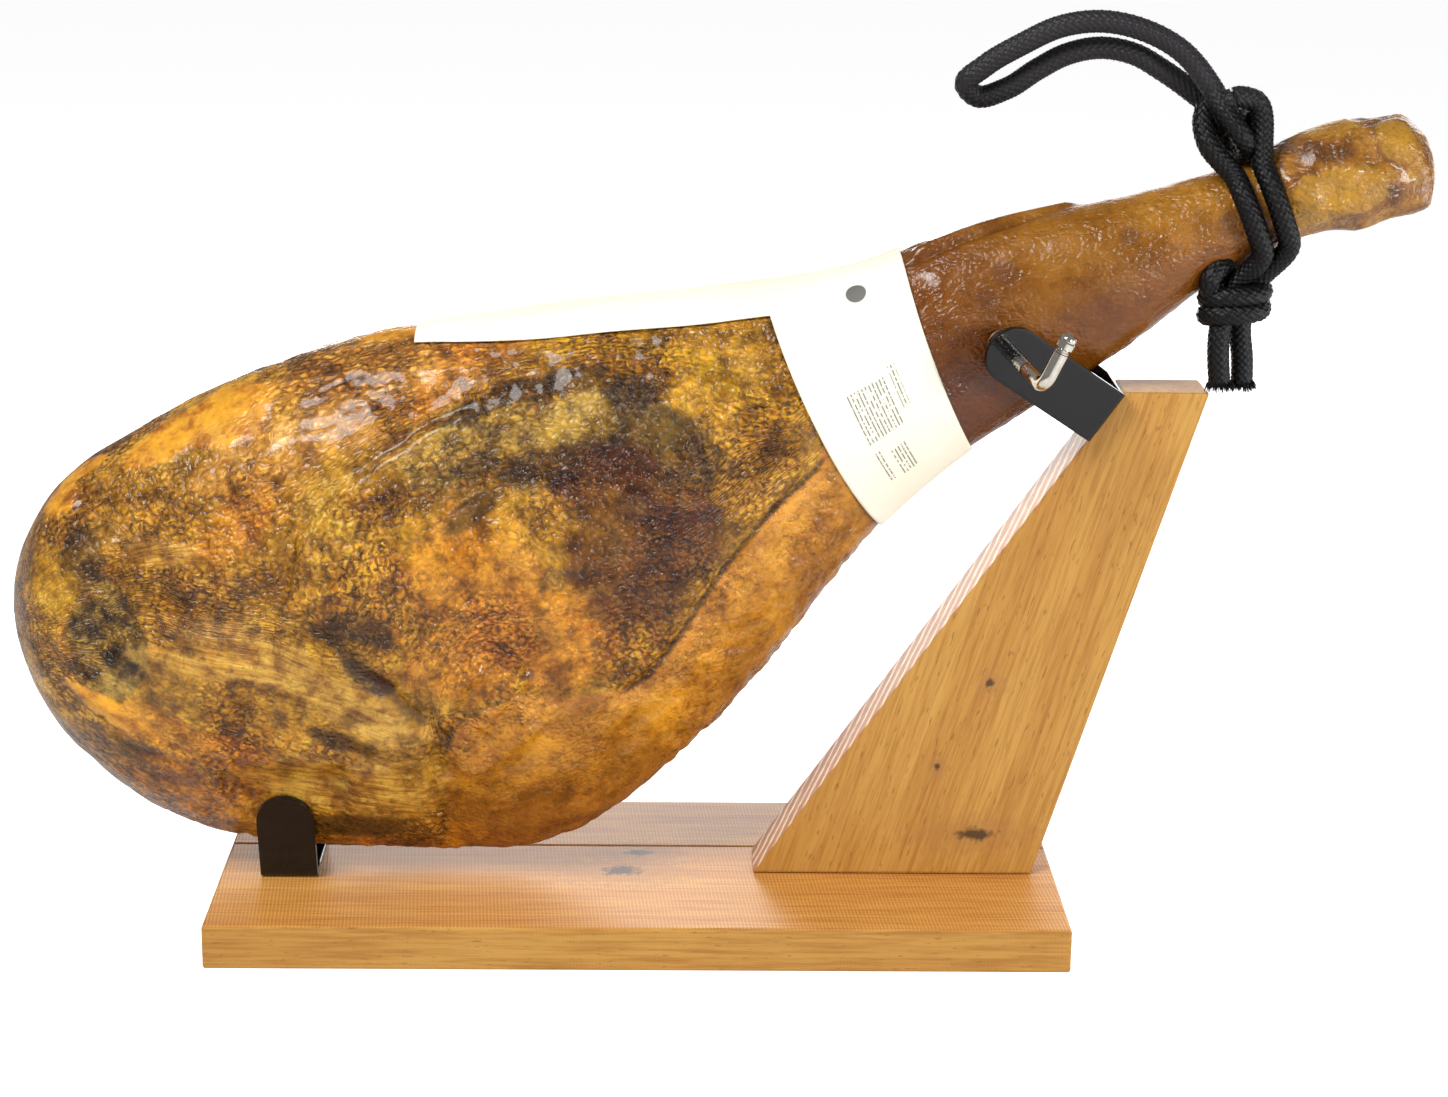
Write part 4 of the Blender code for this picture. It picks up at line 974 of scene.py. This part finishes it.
up_arm = Vector((0.0, -math.sin(CLAMP_FLARE), math.cos(CLAMP_FLARE)))
arm_way = clamp_turn.to_3x3() @ up_arm
outward = clamp_turn.to_3x3() @ Vector((0.0, -math.cos(CLAMP_FLARE), -math.sin(CLAMP_FLARE)))
hole = clamp_place @ (Vector((0.0, -BRACKET_DEPTH / 2, GAP)) + up_arm * CLAMP_HOLE)
for owner, place in (("cradle", cradle_place), ("clamp", clamp_place)):
    for index, side in enumerate((-1, 1)):
        foot = place @ Vector((0.0, side * 0.008, 2 * GAP + BAR_THICKNESS))
        name = "%s_screw_%d" % (owner, index + 1)
        dress(screw_head(name + "_head", foot, place.to_3x3() @ Vector((0, 0, 1))), "stand", "nickel", name)

# %% The clamp's screw
ROD_RADIUS, ROD_REACH, ROD_BEND, HANDLE, KNOB = 0.0034, 0.037, 0.0055, 0.0265, 0.0095
ROD_INSIDE, PAD_HEIGHT, ROD_SIDES, THREAD_PITCH, THREAD_DEPTH = 0.0105, 0.0042, 40, 0.00125, 0.00022
across_arm = outward.cross(arm_way)
across_arm = -across_arm if across_arm.x < 0 else across_arm
lean = math.radians(11.0)
handle = (across_arm * math.cos(lean) + arm_way * math.sin(lean)).normalized()
elbow = hole + outward * ROD_REACH
inner = hole - outward * (ROD_INSIDE - GAP)
middle = elbow - outward * ROD_BEND + handle * ROD_BEND
bend = [middle + outward * ROD_BEND * math.sin(a) - handle * ROD_BEND * math.cos(a)
        for a in np.linspace(0, math.pi / 2, 16)]
straight_in = [inner.lerp(bend[0], t) for t in np.linspace(0.0, 1.0, 120)[:-1]]
straight_out = [bend[-1].lerp(elbow + handle * (HANDLE - KNOB), t) for t in np.linspace(0.0, 1.0, 16)[1:]]
rod_path = np.array([tuple(p) for p in straight_in + bend + straight_out])
rod_along = np.concatenate([[0.0], np.cumsum(np.linalg.norm(np.diff(rod_path, axis=0), axis=1))])
threaded = 1 - ease(0.026, 0.0275, rod_along)
thread = 2 * np.pi * (rod_along[:, None] / THREAD_PITCH + np.arange(ROD_SIDES)[None] / ROD_SIDES)
rod_radius = ROD_RADIUS - THREAD_DEPTH * threaded[:, None] * (0.5 + 0.5 * np.cos(thread))
rod_grid = tube_grid(rod_path, rod_radius, np.array(arm_way))
rod = grid_mesh("clamp_screw_rod", rod_grid, around=True, poles=(rod_path[0], rod_path[-1]))
dress(sharp(rod, 40), "screw", "nickel", "clamp_screw")

wide = ROD_RADIUS * 1.16
knob_profile = [(wide * 0.80, 0.0), (wide * 0.80, 0.0006), (wide * 0.68, 0.0010), (wide * 0.68, 0.0016),
                (wide, 0.0024), (wide, 0.0052), (wide * 0.86, 0.0058), (wide * 0.86, 0.0062)]
knob_profile += [(wide * 0.92 * math.cos(a), 0.0064 + 0.0030 * math.sin(a))
                 for a in np.linspace(0.0, 1.45, 10)]
knob = spun("clamp_knob_turned", elbow + handle * (HANDLE - KNOB + GAP), handle, knob_profile)
dress(sharp(knob), "screw", "nickel", "clamp_knob")
pad_profile = [(0.0076, 0.0), (0.0079, 0.0004), (0.0080, 0.0010), (0.0078, 0.0017), (0.0072, 0.0020),
               (0.0046, 0.0025), (0.0042, 0.0030), (0.0040, 0.0040), (0.0037, PAD_HEIGHT)]
pad = spun("clamp_pad_turned", hole - outward * (ROD_INSIDE + PAD_HEIGHT), outward, pad_profile)
dress(sharp(pad), "pad", "nickel", "clamp_pad")
print("screw's hole at", tuple(round(v, 4) for v in hole))

# %% [markdown]
# ## Materials
# Every finish is a small network of nodes on a Principled shader. Colours are written as sRGB
# hex values, the way they are read off a swatch, and turned to linear light by one function.
# One helper adds a node with its settings and its links.

# %% Colours and nodes
def linear(code):
    """sRGB hex to linear: each channel over 12.92 when dark, else ((c + 0.055) / 1.055) ** 2.4."""
    channels = np.array([int(code[k:k + 2], 16) for k in (1, 3, 5)]) / 255
    light = np.where(channels <= 0.04045, channels / 12.92, ((channels + 0.055) / 1.055) ** 2.4)
    return (*light.tolist(), 1.0)


def plug(node, *values, **named):
    """Feed a node's sockets: values go to the visible ones in order, names to those of that name.

    A value is a number, a vector, a hex colour, a node (its first visible output) or (node, output).
    """
    shown = [socket for socket in node.inputs if socket.enabled]
    called = [node.inputs[name.replace("_", " ")] for name in named]
    for socket, value in (*zip(shown, values), *zip(called, named.values())):
        source = value if isinstance(value, tuple) else (value, None)
        if isinstance(source[0], bpy.types.Node):
            outputs = source[0].outputs
            made = outputs[source[1]] if source[1] else next(each for each in outputs if each.enabled)
            node.id_data.links.new(made, socket)
        else:
            socket.default_value = linear(value) if isinstance(value, str) else value
    return node


def add(tree, kind, *values, stops=(), **named):
    """Add a node: names in small letters are its settings, the rest is plugged into its sockets.

    Stops are (position, hex) pairs of a colour ramp.
    """
    node = tree.nodes.new("ShaderNode" + kind)
    for name in [name for name in named if name[0].islower()]:
        setattr(node, name, named.pop(name))
    for position, _ in stops[2:]:
        node.color_ramp.elements.new(position)
    for element, (position, code) in zip(node.color_ramp.elements if stops else (), stops):
        element.position, element.color = position, linear(code)
    return plug(node, *values, **named)


def new_material(name):
    """A material with its tree, its Principled shader and its Object coordinates."""
    surface = bpy.data.materials.new(name)
    surface.use_nodes = True
    tree = surface.node_tree
    return surface, tree, tree.nodes["Principled BSDF"], (add(tree, "TexCoord"), "Object")


def wear(piece, surface):
    """Give a piece one material."""
    piece.data.materials.clear()
    piece.data.materials.append(surface)


# %% [markdown]
# ### Cured meat, fat and rind
# Dried pork is a dense, oily solid: amber to brown lean, yellow fat, and rind like waxed
# leather. Months of drying leave mottling at every scale. The colour also holds painted shade,
# darker in the hollows, creases and grooves, and a painted highlight, lighter on the crests. The
# maps stored on the skin say what lies where; noise finer than the grid breaks up their edges,
# and an oil film gives the gloss.

# %% Cured ham: creases and beads finer than the grid
COVER = {"data_type": "RGBA"}                                   # one colour laid over another
TINT = {"data_type": "RGBA", "blend_type": "MULTIPLY"}          # one colour dyed by another

meat_look, tree, shader, spot = new_material("oiled cured pork")
flowing = (add(tree, "Attribute", attribute_name="flow"), "Vector")
skin = {name: (add(tree, "Attribute", attribute_name=name), "Fac") for name in MAPS}
shiver = add(tree, "TexNoise", Vector=spot, Scale=200.0, Detail=1.0)
shaken = add(tree, "VectorMath", (shiver, "Color"), (0.5, 0.5, 0.5), operation="SUBTRACT")
SHAKE = (0.0030, 0.0030, 0.0030)        # metres either way, so that no pattern runs in a straight line
crooked = add(tree, "VectorMath", shaken, SHAKE, flowing, operation="MULTIPLY_ADD")
short_lay = add(tree, "VectorMath", shaken, SHAKE, spot, operation="MULTIPLY_ADD")
long_lay = add(tree, "VectorMath", crooked, (0.45, 1.0, 1.0), operation="MULTIPLY")
fibre_lay = add(tree, "VectorMath", flowing, (0.12, 1.0, 1.0), operation="MULTIPLY")


def creased(source, scale, deep):
    """Skin between creases: 0 in a crease of a cell pattern, 1 on the skin between."""
    cells = add(tree, "TexVoronoi", Vector=source, Scale=scale, feature="DISTANCE_TO_EDGE")
    return add(tree, "MapRange", Value=cells, From_Max=deep, interpolation_type="SMOOTHSTEP")


round_folds = creased(short_lay, 270.0, 0.30)
long_folds = creased(long_lay, 340.0, 0.34)
fibres_along = add(tree, "TexNoise", Vector=fibre_lay, Scale=520.0, Detail=2.0, Roughness=0.6)
beads = add(tree, "TexVoronoi", Vector=short_lay, Scale=380.0, feature="F1")
bead_rise = add(tree, "MapRange", Value=beads, From_Min=0.75, From_Max=0.10, interpolation_type="SMOOTHSTEP")
lean_share = add(tree, "MapRange", Value=skin["tan"], To_Min=0.55, To_Max=1.0)
mixed = add(tree, "Mix", lean_share, round_folds, long_folds)
bead_share = add(tree, "MapRange", Value=skin["pebbled"], To_Min=0.10, To_Max=0.45)
beaded = add(tree, "Mix", bead_share, mixed, bead_rise)
rise = add(tree, "Mix", skin["pale"], beaded, fibres_along)
calm = add(tree, "TexNoise", Vector=short_lay, Scale=24.0, Detail=1.0)
lively = add(tree, "MapRange", Value=calm, From_Min=0.38, From_Max=0.58, To_Min=0.48, To_Max=1.0)
bare_share = add(tree, "MapRange", Value=skin["smooth"], To_Min=1.0, To_Max=0.1)
fold_share = add(tree, "Math", lively, bare_share, operation="MULTIPLY")

# %% Cured ham: noises and tones
FIELDS = ((30.0, 5.0, 0.66), (95.0, 4.0, 0.62), (330.0, 2.0, 0.70), (60.0, 4.0, 0.75))
mottle, blotches, speckle, edge_noise = (
    add(tree, "TexNoise", Vector=short_lay, Scale=scale, Detail=detail, Roughness=rough)
    for scale, detail, rough in FIELDS)
streaks = add(tree, "TexNoise", Vector=fibre_lay, Scale=380.0, Detail=3.0, Roughness=0.6)
TONES = {
    "lean": (mottle, (0.33, "#8a6420"), (0.44, "#b0862c"), (0.53, "#c69c3c"), (0.66, "#d8b456")),
    "hip": (blotches, (0.36, "#33260f"), (0.48, "#6a5226"), (0.58, "#94804c"), (0.68, "#a8905a")),
    # The crease tone is painted shade in the fine creases.
    "crease": (rise, (0.0, "#523214"), (0.28, "#b8966a"), (0.65, "#ffffff")),
    "uneven": (blotches, (0.37, "#8a8072"), (0.50, "#bcbab8"), (0.63, "#e6dec6")),
    "rind": (skin["edge"], (0.0, "#d89850"), (0.22, "#dca03c"), (0.42, "#da9a2c"), (0.60, "#c48a30"),
             (0.95, "#aa7232")),
    "rind mottle": (mottle, (0.33, "#7f5a3c"), (0.47, "#c4b8ac"), (0.62, "#ffffff")),
    "shank": (skin["toward_foot"], (0.0, "#724018"), (0.30, "#7a4a14"), (0.65, "#92641c"), (1.0, "#aa7c32")),
    "shank mottle": (mottle, (0.34, "#a88a74"), (0.50, "#dcd0c0"), (0.66, "#ffffff")),
    "foot": (blotches, (0.36, "#563418"), (0.48, "#744a24"), (0.58, "#885c26"), (0.70, "#a47c3e")),
    "patina": (blotches, (0.34, "#96826a"), (0.44, "#d8ccb8"), (0.52, "#ffffff")),
    "fibre": (streaks, (0.36, "#c8b088"), (0.50, "#f0e6d4"), (0.62, "#ffffff")),
    "grain": (speckle, (0.34, "#9c8a52"), (0.44, "#e8e0c4"), (0.54, "#fff8ea"), (0.66, "#ffdcb0")),
}   # what drives a ramp, and its stops
tone = {name: add(tree, "ValToRGB", driver, stops=stops) for name, (driver, *stops) in TONES.items()}
# Shares of the shank's underside tint, of the painted highlight on the crests and of the painted shade in the
# hollows.
PARTS = (("underside", 0.60), ("crest", 0.15), ("hollow", 0.32))
part = {name: add(tree, "Math", skin[name], most, operation="MULTIPLY") for name, most in PARTS}
rind_colour = add(tree, "Mix", 0.75, tone["rind"], tone["rind mottle"], **TINT)
shank_colour = add(tree, "Mix", 0.8, tone["shank"], tone["shank mottle"], **TINT)
shank_colour = add(tree, "Mix", part["underside"], shank_colour, "#b87848", **TINT)


# %% Cured ham: colour
def over(below, name, above, fray, cover):
    """Lay a colour over another where a map plus frayed noise passes the middle."""
    moved = add(tree, "Math", edge_noise, 3 * fray, -1.5 * fray, operation="MULTIPLY_ADD")
    both = add(tree, "Math", skin[name], moved, operation="ADD")
    eased = add(tree, "MapRange", Value=both, From_Min=0.1, From_Max=0.9, To_Max=cover,
                interpolation_type="SMOOTHSTEP")
    near = add(tree, "MapRange", Value=skin[name], From_Max=0.35)
    gated = add(tree, "Math", eased, near, operation="MULTIPLY", use_clamp=True)
    return add(tree, "Mix", gated, below, above, **COVER)


MEAT_LAYERS = (
    ("tan", "#d49c5a", 0.7, 0.75), ("lime", "#cea82c", 0.6, 0.7), ("pale", "#dcba74", 0.8, 0.64),
    ("orange", "#ce861e", 0.8, 0.66), ("grey", "#b49e60", 0.6, 0.75), ("dark", "#462e0e", 0.7, 0.82),
    ("purple", "#562408", 0.8, 0.82), ("hip", tone["hip"], 0.35, 0.92), ("fat", "#dc9c34", 0.55, 0.88),
)   # map, colour, how much the noise frays its edge, how much it covers
# The last rind layer is painted shade along the groove at the rind's border.
RIND_LAYERS = (
    ("rind", rind_colour, 0.12, 1.0), ("shank", shank_colour, 0.1, 0.95), ("spots", "#5a3626", 0.8, 0.6),
    ("foot", tone["foot"], 0.25, 0.9), ("knuckle", "#b88e3a", 0.9, 0.55), ("seam", "#3e2610", 0.1, 0.75),
)
colour = tone["lean"]
for layer in MEAT_LAYERS:
    colour = over(colour, *layer)
# Painted shade: the crease tone darkens the fine creases that the fold bump also draws.
crease_shade_share = add(tree, "Math", fold_share, 0.85, operation="MULTIPLY")
colour = add(tree, "Mix", crease_shade_share, colour, tone["crease"], **TINT)
colour = add(tree, "Mix", 0.5, colour, tone["uneven"], data_type="RGBA", blend_type="OVERLAY")
for layer in RIND_LAYERS:
    colour = over(colour, *layer)
# A painted highlight: a light gold laid over the crests.
colour = add(tree, "Mix", part["crest"], colour, "#e0b264", **COVER)
patina_share = add(tree, "MapRange", Value=skin["shank"], To_Min=0.65, To_Max=0.15)
# Tints: painted shade in the hollows, patina with less of it on the shank, the pale fibres, fine grain and a
# warm oily cast.
for share, dye in ((part["hollow"], "#7a5424"), (patina_share, tone["patina"]), (skin["pale"], tone["fibre"]),
                   (fold_share, tone["grain"]), (1.0, "#fffbd2")):
    colour = add(tree, "Mix", share, colour, dye, **TINT)

# %% Cured ham: gloss and relief
gloss = add(tree, "ValToRGB", edge_noise, stops=((0.35, "#7c7c7c"), (0.50, "#949494"), (0.66, "#b0b0b0")))
fold_bump = add(tree, "Bump", Strength=fold_share, Distance=0.0016, Height=rise)
fine_bump = add(tree, "Bump", Strength=0.2, Distance=0.0006, Height=speckle, Normal=fold_bump)
plug(shader, Base_Color=colour, Roughness=gloss, Normal=fine_bump, IOR=1.46, Specular_IOR_Level=0.35,
     Coat_Weight=0.26, Coat_Roughness=0.10)
wear(ham, meat_look)

# %% [markdown]
# ### Beech
# The planks and the post keep their solids and get oiled beech: straight grain, faint year
# bands, and the short dark flecks of its rays, one or two to the millimetre across the grain. The
# fresh-sawn faces show the saw's slanting marks and are paler, partly as raw wood and partly as
# painted light on the faces that look up. The grain runs along each board, so a Mapping node turns
# the pattern to it.

# %% Oiled beech
def beech(name, grain_angle, shift, knots, sawn_and_lit_side, sawn_and_lit_tones, marks_turn, marks_gap):
    """Bands and flecks drawn out along the grain, and knots as dark spheres with a ring.

    The face towards that side is paler, partly as raw sawn wood and partly as painted light, and shows the
    saw's marks, a gap apart in metres.
    """
    surface, tree, shader, spot = new_material(name)
    lay = dict(Vector=spot, Rotation=(0.0, math.radians(-grain_angle), 0.0), Location=(shift, 0.0, 0.0))
    along_grain = add(tree, "Mapping", **lay, Scale=(22.0, 1.0, 1.0), vector_type="TEXTURE")
    fleck_lay = add(tree, "Mapping", **lay, Scale=(5.0, 1.0, 1.0), vector_type="TEXTURE")
    bands = add(tree, "TexNoise", Vector=along_grain, Scale=46.0, Detail=5.0, Roughness=0.55)
    lines = add(tree, "TexNoise", Vector=along_grain, Scale=520.0, Detail=3.0, Roughness=0.65)
    flecks = add(tree, "TexNoise", Vector=fleck_lay, Scale=800.0, Detail=1.0, Roughness=0.4)
    heartwood = ((0.30, "#a87432"), (0.46, "#b0803a"), (0.60, "#b88a42"), (0.75, "#c29850"))
    colour = add(tree, "ValToRGB", bands, stops=heartwood)
    fine = add(tree, "ValToRGB", lines, stops=((0.36, "#c8a878"), (0.58, "#ffffff")))
    colour = add(tree, "Mix", 0.55, colour, fine, **TINT)
    fleck_share = add(tree, "MapRange", Value=flecks, From_Min=0.67, From_Max=0.72, To_Max=0.45)
    colour = add(tree, "Mix", fleck_share, colour, "#6e3f14", **COVER)
    # Painted light in part: faces towards the given side turn paler, both as raw sawn wood and as lit tops.
    normal = add(tree, "NewGeometry")
    facing = add(tree, "VectorMath", (normal, "Normal"), sawn_and_lit_side, operation="DOT_PRODUCT")
    share = add(tree, "MapRange", Value=facing, From_Min=0.80, From_Max=0.95, To_Max=0.85)
    marks_lay = add(tree, "Mapping", Vector=spot, Rotation=(0.0, 0.0, math.radians(marks_turn)),
                    vector_type="TEXTURE")
    marks = add(tree, "TexWave", Vector=marks_lay, Scale=2 * math.pi / 20 / marks_gap, Distortion=1.6,
                Detail=3.0, Detail_Scale=2.0)
    pale = add(tree, "ValToRGB", (marks, "Fac"), stops=tuple(zip((0.20, 0.70, 0.95), sawn_and_lit_tones)))
    pale = add(tree, "Mix", 0.5, pale, fine, **TINT)
    broad = add(tree, "ValToRGB", bands, stops=((0.35, "#d8bc9c"), (0.62, "#ffffff")))
    pale = add(tree, "Mix", 0.6, pale, broad, **TINT)
    colour = add(tree, "Mix", share, colour, pale, **COVER)
    for place, size, stretch in knots:
        lay = add(tree, "Mapping", Vector=spot, Location=place, Scale=stretch, vector_type="TEXTURE")
        wobble = add(tree, "TexNoise", Vector=spot, Scale=300.0, Detail=2.0)
        far = add(tree, "VectorMath", lay, operation="LENGTH")
        near = add(tree, "Math", far, wobble, operation="MULTIPLY")
        for code, start, end, cover in (("#9a6a3a", 0.45, 0.95, 0.45), ("#3c2a1c", 0.12, 0.28, 0.9)):
            cored = add(tree, "MapRange", Value=near, From_Min=size * start, From_Max=size * end,
                        To_Min=cover, To_Max=0.0)
            colour = add(tree, "Mix", cored, colour, code, **COVER)
    bump = add(tree, "Bump", Strength=0.2, Distance=0.0003, Height=lines)
    bump = add(tree, "Bump", Strength=0.15, Distance=0.0003, Height=(marks, "Fac"), Normal=bump)
    plug(shader, Base_Color=colour, Roughness=0.55, Normal=bump, Specular_IOR_Level=0.30,
         Coat_Weight=0.08, Coat_Roughness=0.25)
    return surface


base_knots = (((-0.0005, 0.012, 0.021), 0.010, (1.5, 1.0, 1.0)),
              ((-0.0085, -0.012, 0.021), 0.013, (1.7, 1.0, 1.0)))
post_knots = (((0.1655, -0.0153, 0.1180), 0.0044, (1, 1, 1)), ((0.1420, -0.0153, 0.0760), 0.0036, (1, 1, 1)),
              ((0.1610, -0.0153, 0.0420), 0.0090, (2.2, 1.0, 0.7)))
BOARD_TONES, POST_TONES = ("#c68c40", "#d0984a", "#dca862"), ("#ba8258", "#cc9870", "#fff0dc")
BEECH_PIECES = (
    ("base_plank_front", "front plank", 0.0, 0.31, base_knots, UPRIGHT, BOARD_TONES, 4.0, 0.0017),
    ("base_plank_back", "back plank", 0.0, 1.73, base_knots, UPRIGHT, BOARD_TONES, 4.0, 0.0017),
    ("post", "post", 72.8, 0.57, post_knots, tuple(seat_out), POST_TONES, -32.0, 0.0060),
)
for solid, name, *wood in BEECH_PIECES:
    wear(nodes[solid], beech("oiled beech, " + name, *wood))

# %% [markdown]
# ### Cord, paper and metal
# The cord is matt polyester: nearly black, greyer on its crowns and on the loop, where hands
# rub it. The paper is coated and almost white, and its print is only rows of short dark bars and
# a dot. The brackets are painted a semi-gloss black, and the screws are nickel plated steel,
# warm and bright with fine scratches.

# %% Braided polyester
cord_look, tree, shader, spot = new_material("braided black polyester")
height = (add(tree, "Attribute", attribute_name="height"), "Fac")
fibre = add(tree, "TexNoise", Vector=spot, Scale=900.0, Detail=3.0, Roughness=0.7)
tone = add(tree, "ValToRGB", height, stops=((0.15, "#010101"), (0.70, "#080708"), (1.0, "#141214")))
dust = add(tree, "ValToRGB", fibre, stops=((0.35, "#8f8f8f"), (0.65, "#ffffff")))
colour = add(tree, "Mix", 0.8, tone, dust, **TINT)
height_up = (add(tree, "SeparateXYZ", Vector=spot), "Z")
KNOT_TOP, LOOP_START = 0.388, 0.402         # metres up, between which the cord turns greyer
handled = add(tree, "MapRange", Value=height_up, From_Min=KNOT_TOP, From_Max=LOOP_START, To_Max=0.85)
colour = add(tree, "Mix", handled, colour, "#242224", data_type="RGBA", blend_type="ADD")
fuzz = add(tree, "Bump", Strength=0.7, Distance=0.0003, Height=fibre)
plug(shader, Base_Color=colour, Roughness=0.42, Specular_IOR_Level=0.22, Normal=fuzz)
for piece in (loop, *cord_rest):
    wear(piece, cord_look)

# %% Coated paper
paper_look, tree, shader, spot = new_material("coated paper")
soft = add(tree, "TexNoise", Vector=spot, Scale=14.0, Detail=3.0)
colour = add(tree, "ValToRGB", soft, stops=((0.3, "#e6e0cc"), (0.7, "#efe9d8")))


def within(value, low, high, edge):
    """1 where a value lies between two limits, with short passages at both."""
    rising = add(tree, "MapRange", Value=value, From_Min=low - edge, From_Max=low + edge)
    falling = add(tree, "MapRange", Value=value, From_Min=high - edge, From_Max=high + edge, To_Min=1.0,
                  To_Max=0.0)
    return add(tree, "Math", rising, falling, operation="MULTIPLY")


across, round_ = ((add(tree, "Attribute", attribute_name=name), "Fac") for name in ("across", "round"))
PRINT_ROWS, BAR_RUN = 34.0, 42.0            # rows of print across the band, and how short its bars are
PRINT_BLOCKS = ((0.30, 0.62, 1.42, 1.86), (0.66, 0.72, 1.36, 1.74), (0.30, 0.36, 1.95, 2.30),
                (0.42, 0.56, 2.02, 2.34))
DOT, DOT_SCALE, DOT_RADIUS = (0.62, 0.62, 0.0), (62.0, 44.0, 0.0), 4.6      # millimetres of paper to a share
row = add(tree, "Math", across, PRINT_ROWS, operation="MULTIPLY")
row_seed = add(tree, "Math", add(tree, "Math", row, operation="FLOOR"), 3.7, operation="MULTIPLY")
run_round = add(tree, "Math", round_, BAR_RUN, operation="MULTIPLY")
word_place = add(tree, "CombineXYZ", X=run_round, Y=row_seed)
words = add(tree, "TexNoise", Vector=word_place, Scale=1.0, Detail=1.0)
word = add(tree, "MapRange", Value=words, From_Min=0.41, From_Max=0.45)
stroke = within(add(tree, "Math", row, operation="FRACT"), 0.30, 0.68, 0.08)
blocks = None
for low, high, start, stop in PRINT_BLOCKS:
    sides = within(across, low, high, 0.002), within(round_, start, stop, 0.004)
    block = add(tree, "Math", *sides, operation="MULTIPLY")
    blocks = block if blocks is None else add(tree, "Math", blocks, block, operation="MAXIMUM")
inked = add(tree, "Math", word, stroke, operation="MULTIPLY")
inked = add(tree, "Math", inked, blocks, operation="MULTIPLY")
inked = add(tree, "Math", inked, 0.8, operation="MULTIPLY")
colour = add(tree, "Mix", inked, colour, "#2c2a2c", **COVER)
from_dot = add(tree, "VectorMath", add(tree, "CombineXYZ", X=across, Y=round_), DOT, operation="SUBTRACT")
from_dot = add(tree, "VectorMath", from_dot, DOT_SCALE, operation="MULTIPLY")
dot_far = add(tree, "VectorMath", from_dot, operation="LENGTH")
dot = add(tree, "MapRange", Value=dot_far, From_Min=DOT_RADIUS - 0.2, From_Max=DOT_RADIUS + 0.2,
          To_Min=0.9, To_Max=0.0)
colour = add(tree, "Mix", dot, colour, "#1c1a1c", **COVER)
pulp = add(tree, "TexNoise", Vector=spot, Scale=60.0, Detail=3.0)
bump = add(tree, "Bump", Strength=0.12, Distance=0.001, Height=pulp)
plug(shader, Base_Color=colour, Roughness=0.45, Normal=bump)
wear(sleeve, paper_look)

# %% Black paint
paint_look, tree, shader, spot = new_material("semi-gloss black paint on steel")
grit = add(tree, "TexNoise", Vector=spot, Scale=420.0, Detail=3.0)
colour = add(tree, "ValToRGB", grit, stops=((0.35, "#0b0a0b"), (0.65, "#121012")))
gloss = add(tree, "ValToRGB", grit, stops=((0.3, "#565656"), (0.7, "#707070")))
bump = add(tree, "Bump", Strength=0.15, Distance=0.0002, Height=grit)
plug(shader, Base_Color=colour, Specular_IOR_Level=0.35, Roughness=gloss, Normal=bump)
for piece in (cradle, clamp):
    wear(piece, paint_look)

# %% Nickel plate
nickel_look, tree, shader, spot = new_material("nickel plated steel")
scratch = add(tree, "TexNoise", Vector=spot, Scale=260.0, Detail=4.0, Roughness=0.7)
colour = add(tree, "ValToRGB", scratch, stops=((0.3, "#c9c2b6"), (0.7, "#e2ddd3")))
gloss = add(tree, "ValToRGB", scratch, stops=((0.3, "#303030"), (0.7, "#5a5a5a")))
plug(shader, Metallic=1.0, Base_Color=colour, Roughness=gloss)
for piece in bpy.data.objects:
    if piece.get("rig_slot") == "nickel":
        wear(piece, nickel_look)

# %% [markdown]
# ## Studio
# A white sweep and large soft lights, as for a cut-out product shot: a broad key from the upper
# left, a weaker fill and a low kicker from the right, and two lights behind that draw the bright
# line along the rind. The floor and the lights are no part of the object.

# %% Floor and lights
FLOOR_CORNERS = ((-8, -6, 0), (8, -6, 0), (8, 10, 0), (-8, 10, 0))
floor = new_piece("studio_floor", FLOOR_CORNERS, [(0, 1, 2, 3)])
floor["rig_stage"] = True
floor_look, tree, shader, spot = new_material("white studio floor")
glow = add(tree, "Math", (add(tree, "LightPath"), "Is Camera Ray"), 0.75, operation="MULTIPLY")
WHITE, PALE = (1.0, 1.0, 1.0, 1.0), (0.75, 0.75, 0.75, 1.0)
plug(shader, Base_Color=PALE, Roughness=0.6, Emission_Color=WHITE, Emission_Strength=glow)
wear(floor, floor_look)

world = bpy.data.worlds.new("studio")
world.use_nodes = True
plug(world.node_tree.nodes["Background"], Color=WHITE, Strength=0.27)
scene.world = world


def soft_light(name, place, target, size, power):
    """A square area light aimed at a target."""
    data = bpy.data.lights.new(name, "AREA")
    data.size, data.energy = size, power
    lamp = bpy.data.objects.new(name, data)
    scene.collection.objects.link(lamp)
    lamp.visible_camera = False
    aim = (Vector(target) - Vector(place)).to_track_quat("-Z", "Y").to_matrix().to_4x4()
    lamp.matrix_world = Matrix.Translation(place) @ aim


LIGHTS = (
    ("key", (-0.7, -0.9, 1.5), (0.0, 0.0, 0.2), 0.7, 33),
    ("fill", (1.2, -1.2, 0.5), (0.0, 0.0, 0.2), 0.35, 14),
    ("kicker", (1.1, -0.12, 0.12), (0.05, 0.0, 0.12), 0.4, 3.5),
    ("rim", (0.8, 1.4, 0.5), (0.05, 0.0, 0.2), 1.4, 16),
    ("back", (-0.1, 1.3, 0.30), (0.1, 0.0, 0.05), 0.6, 8),
)   # place, target, size in metres and power in watts
for light in LIGHTS:
    soft_light(*light)
print("lights placed")

import json

visual_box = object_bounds()
for name, box in (("CAD", cad_box), ("visual", visual_box)):
    print(name, "box", [tuple(round(v, 4) for v in corner) for corner in box])
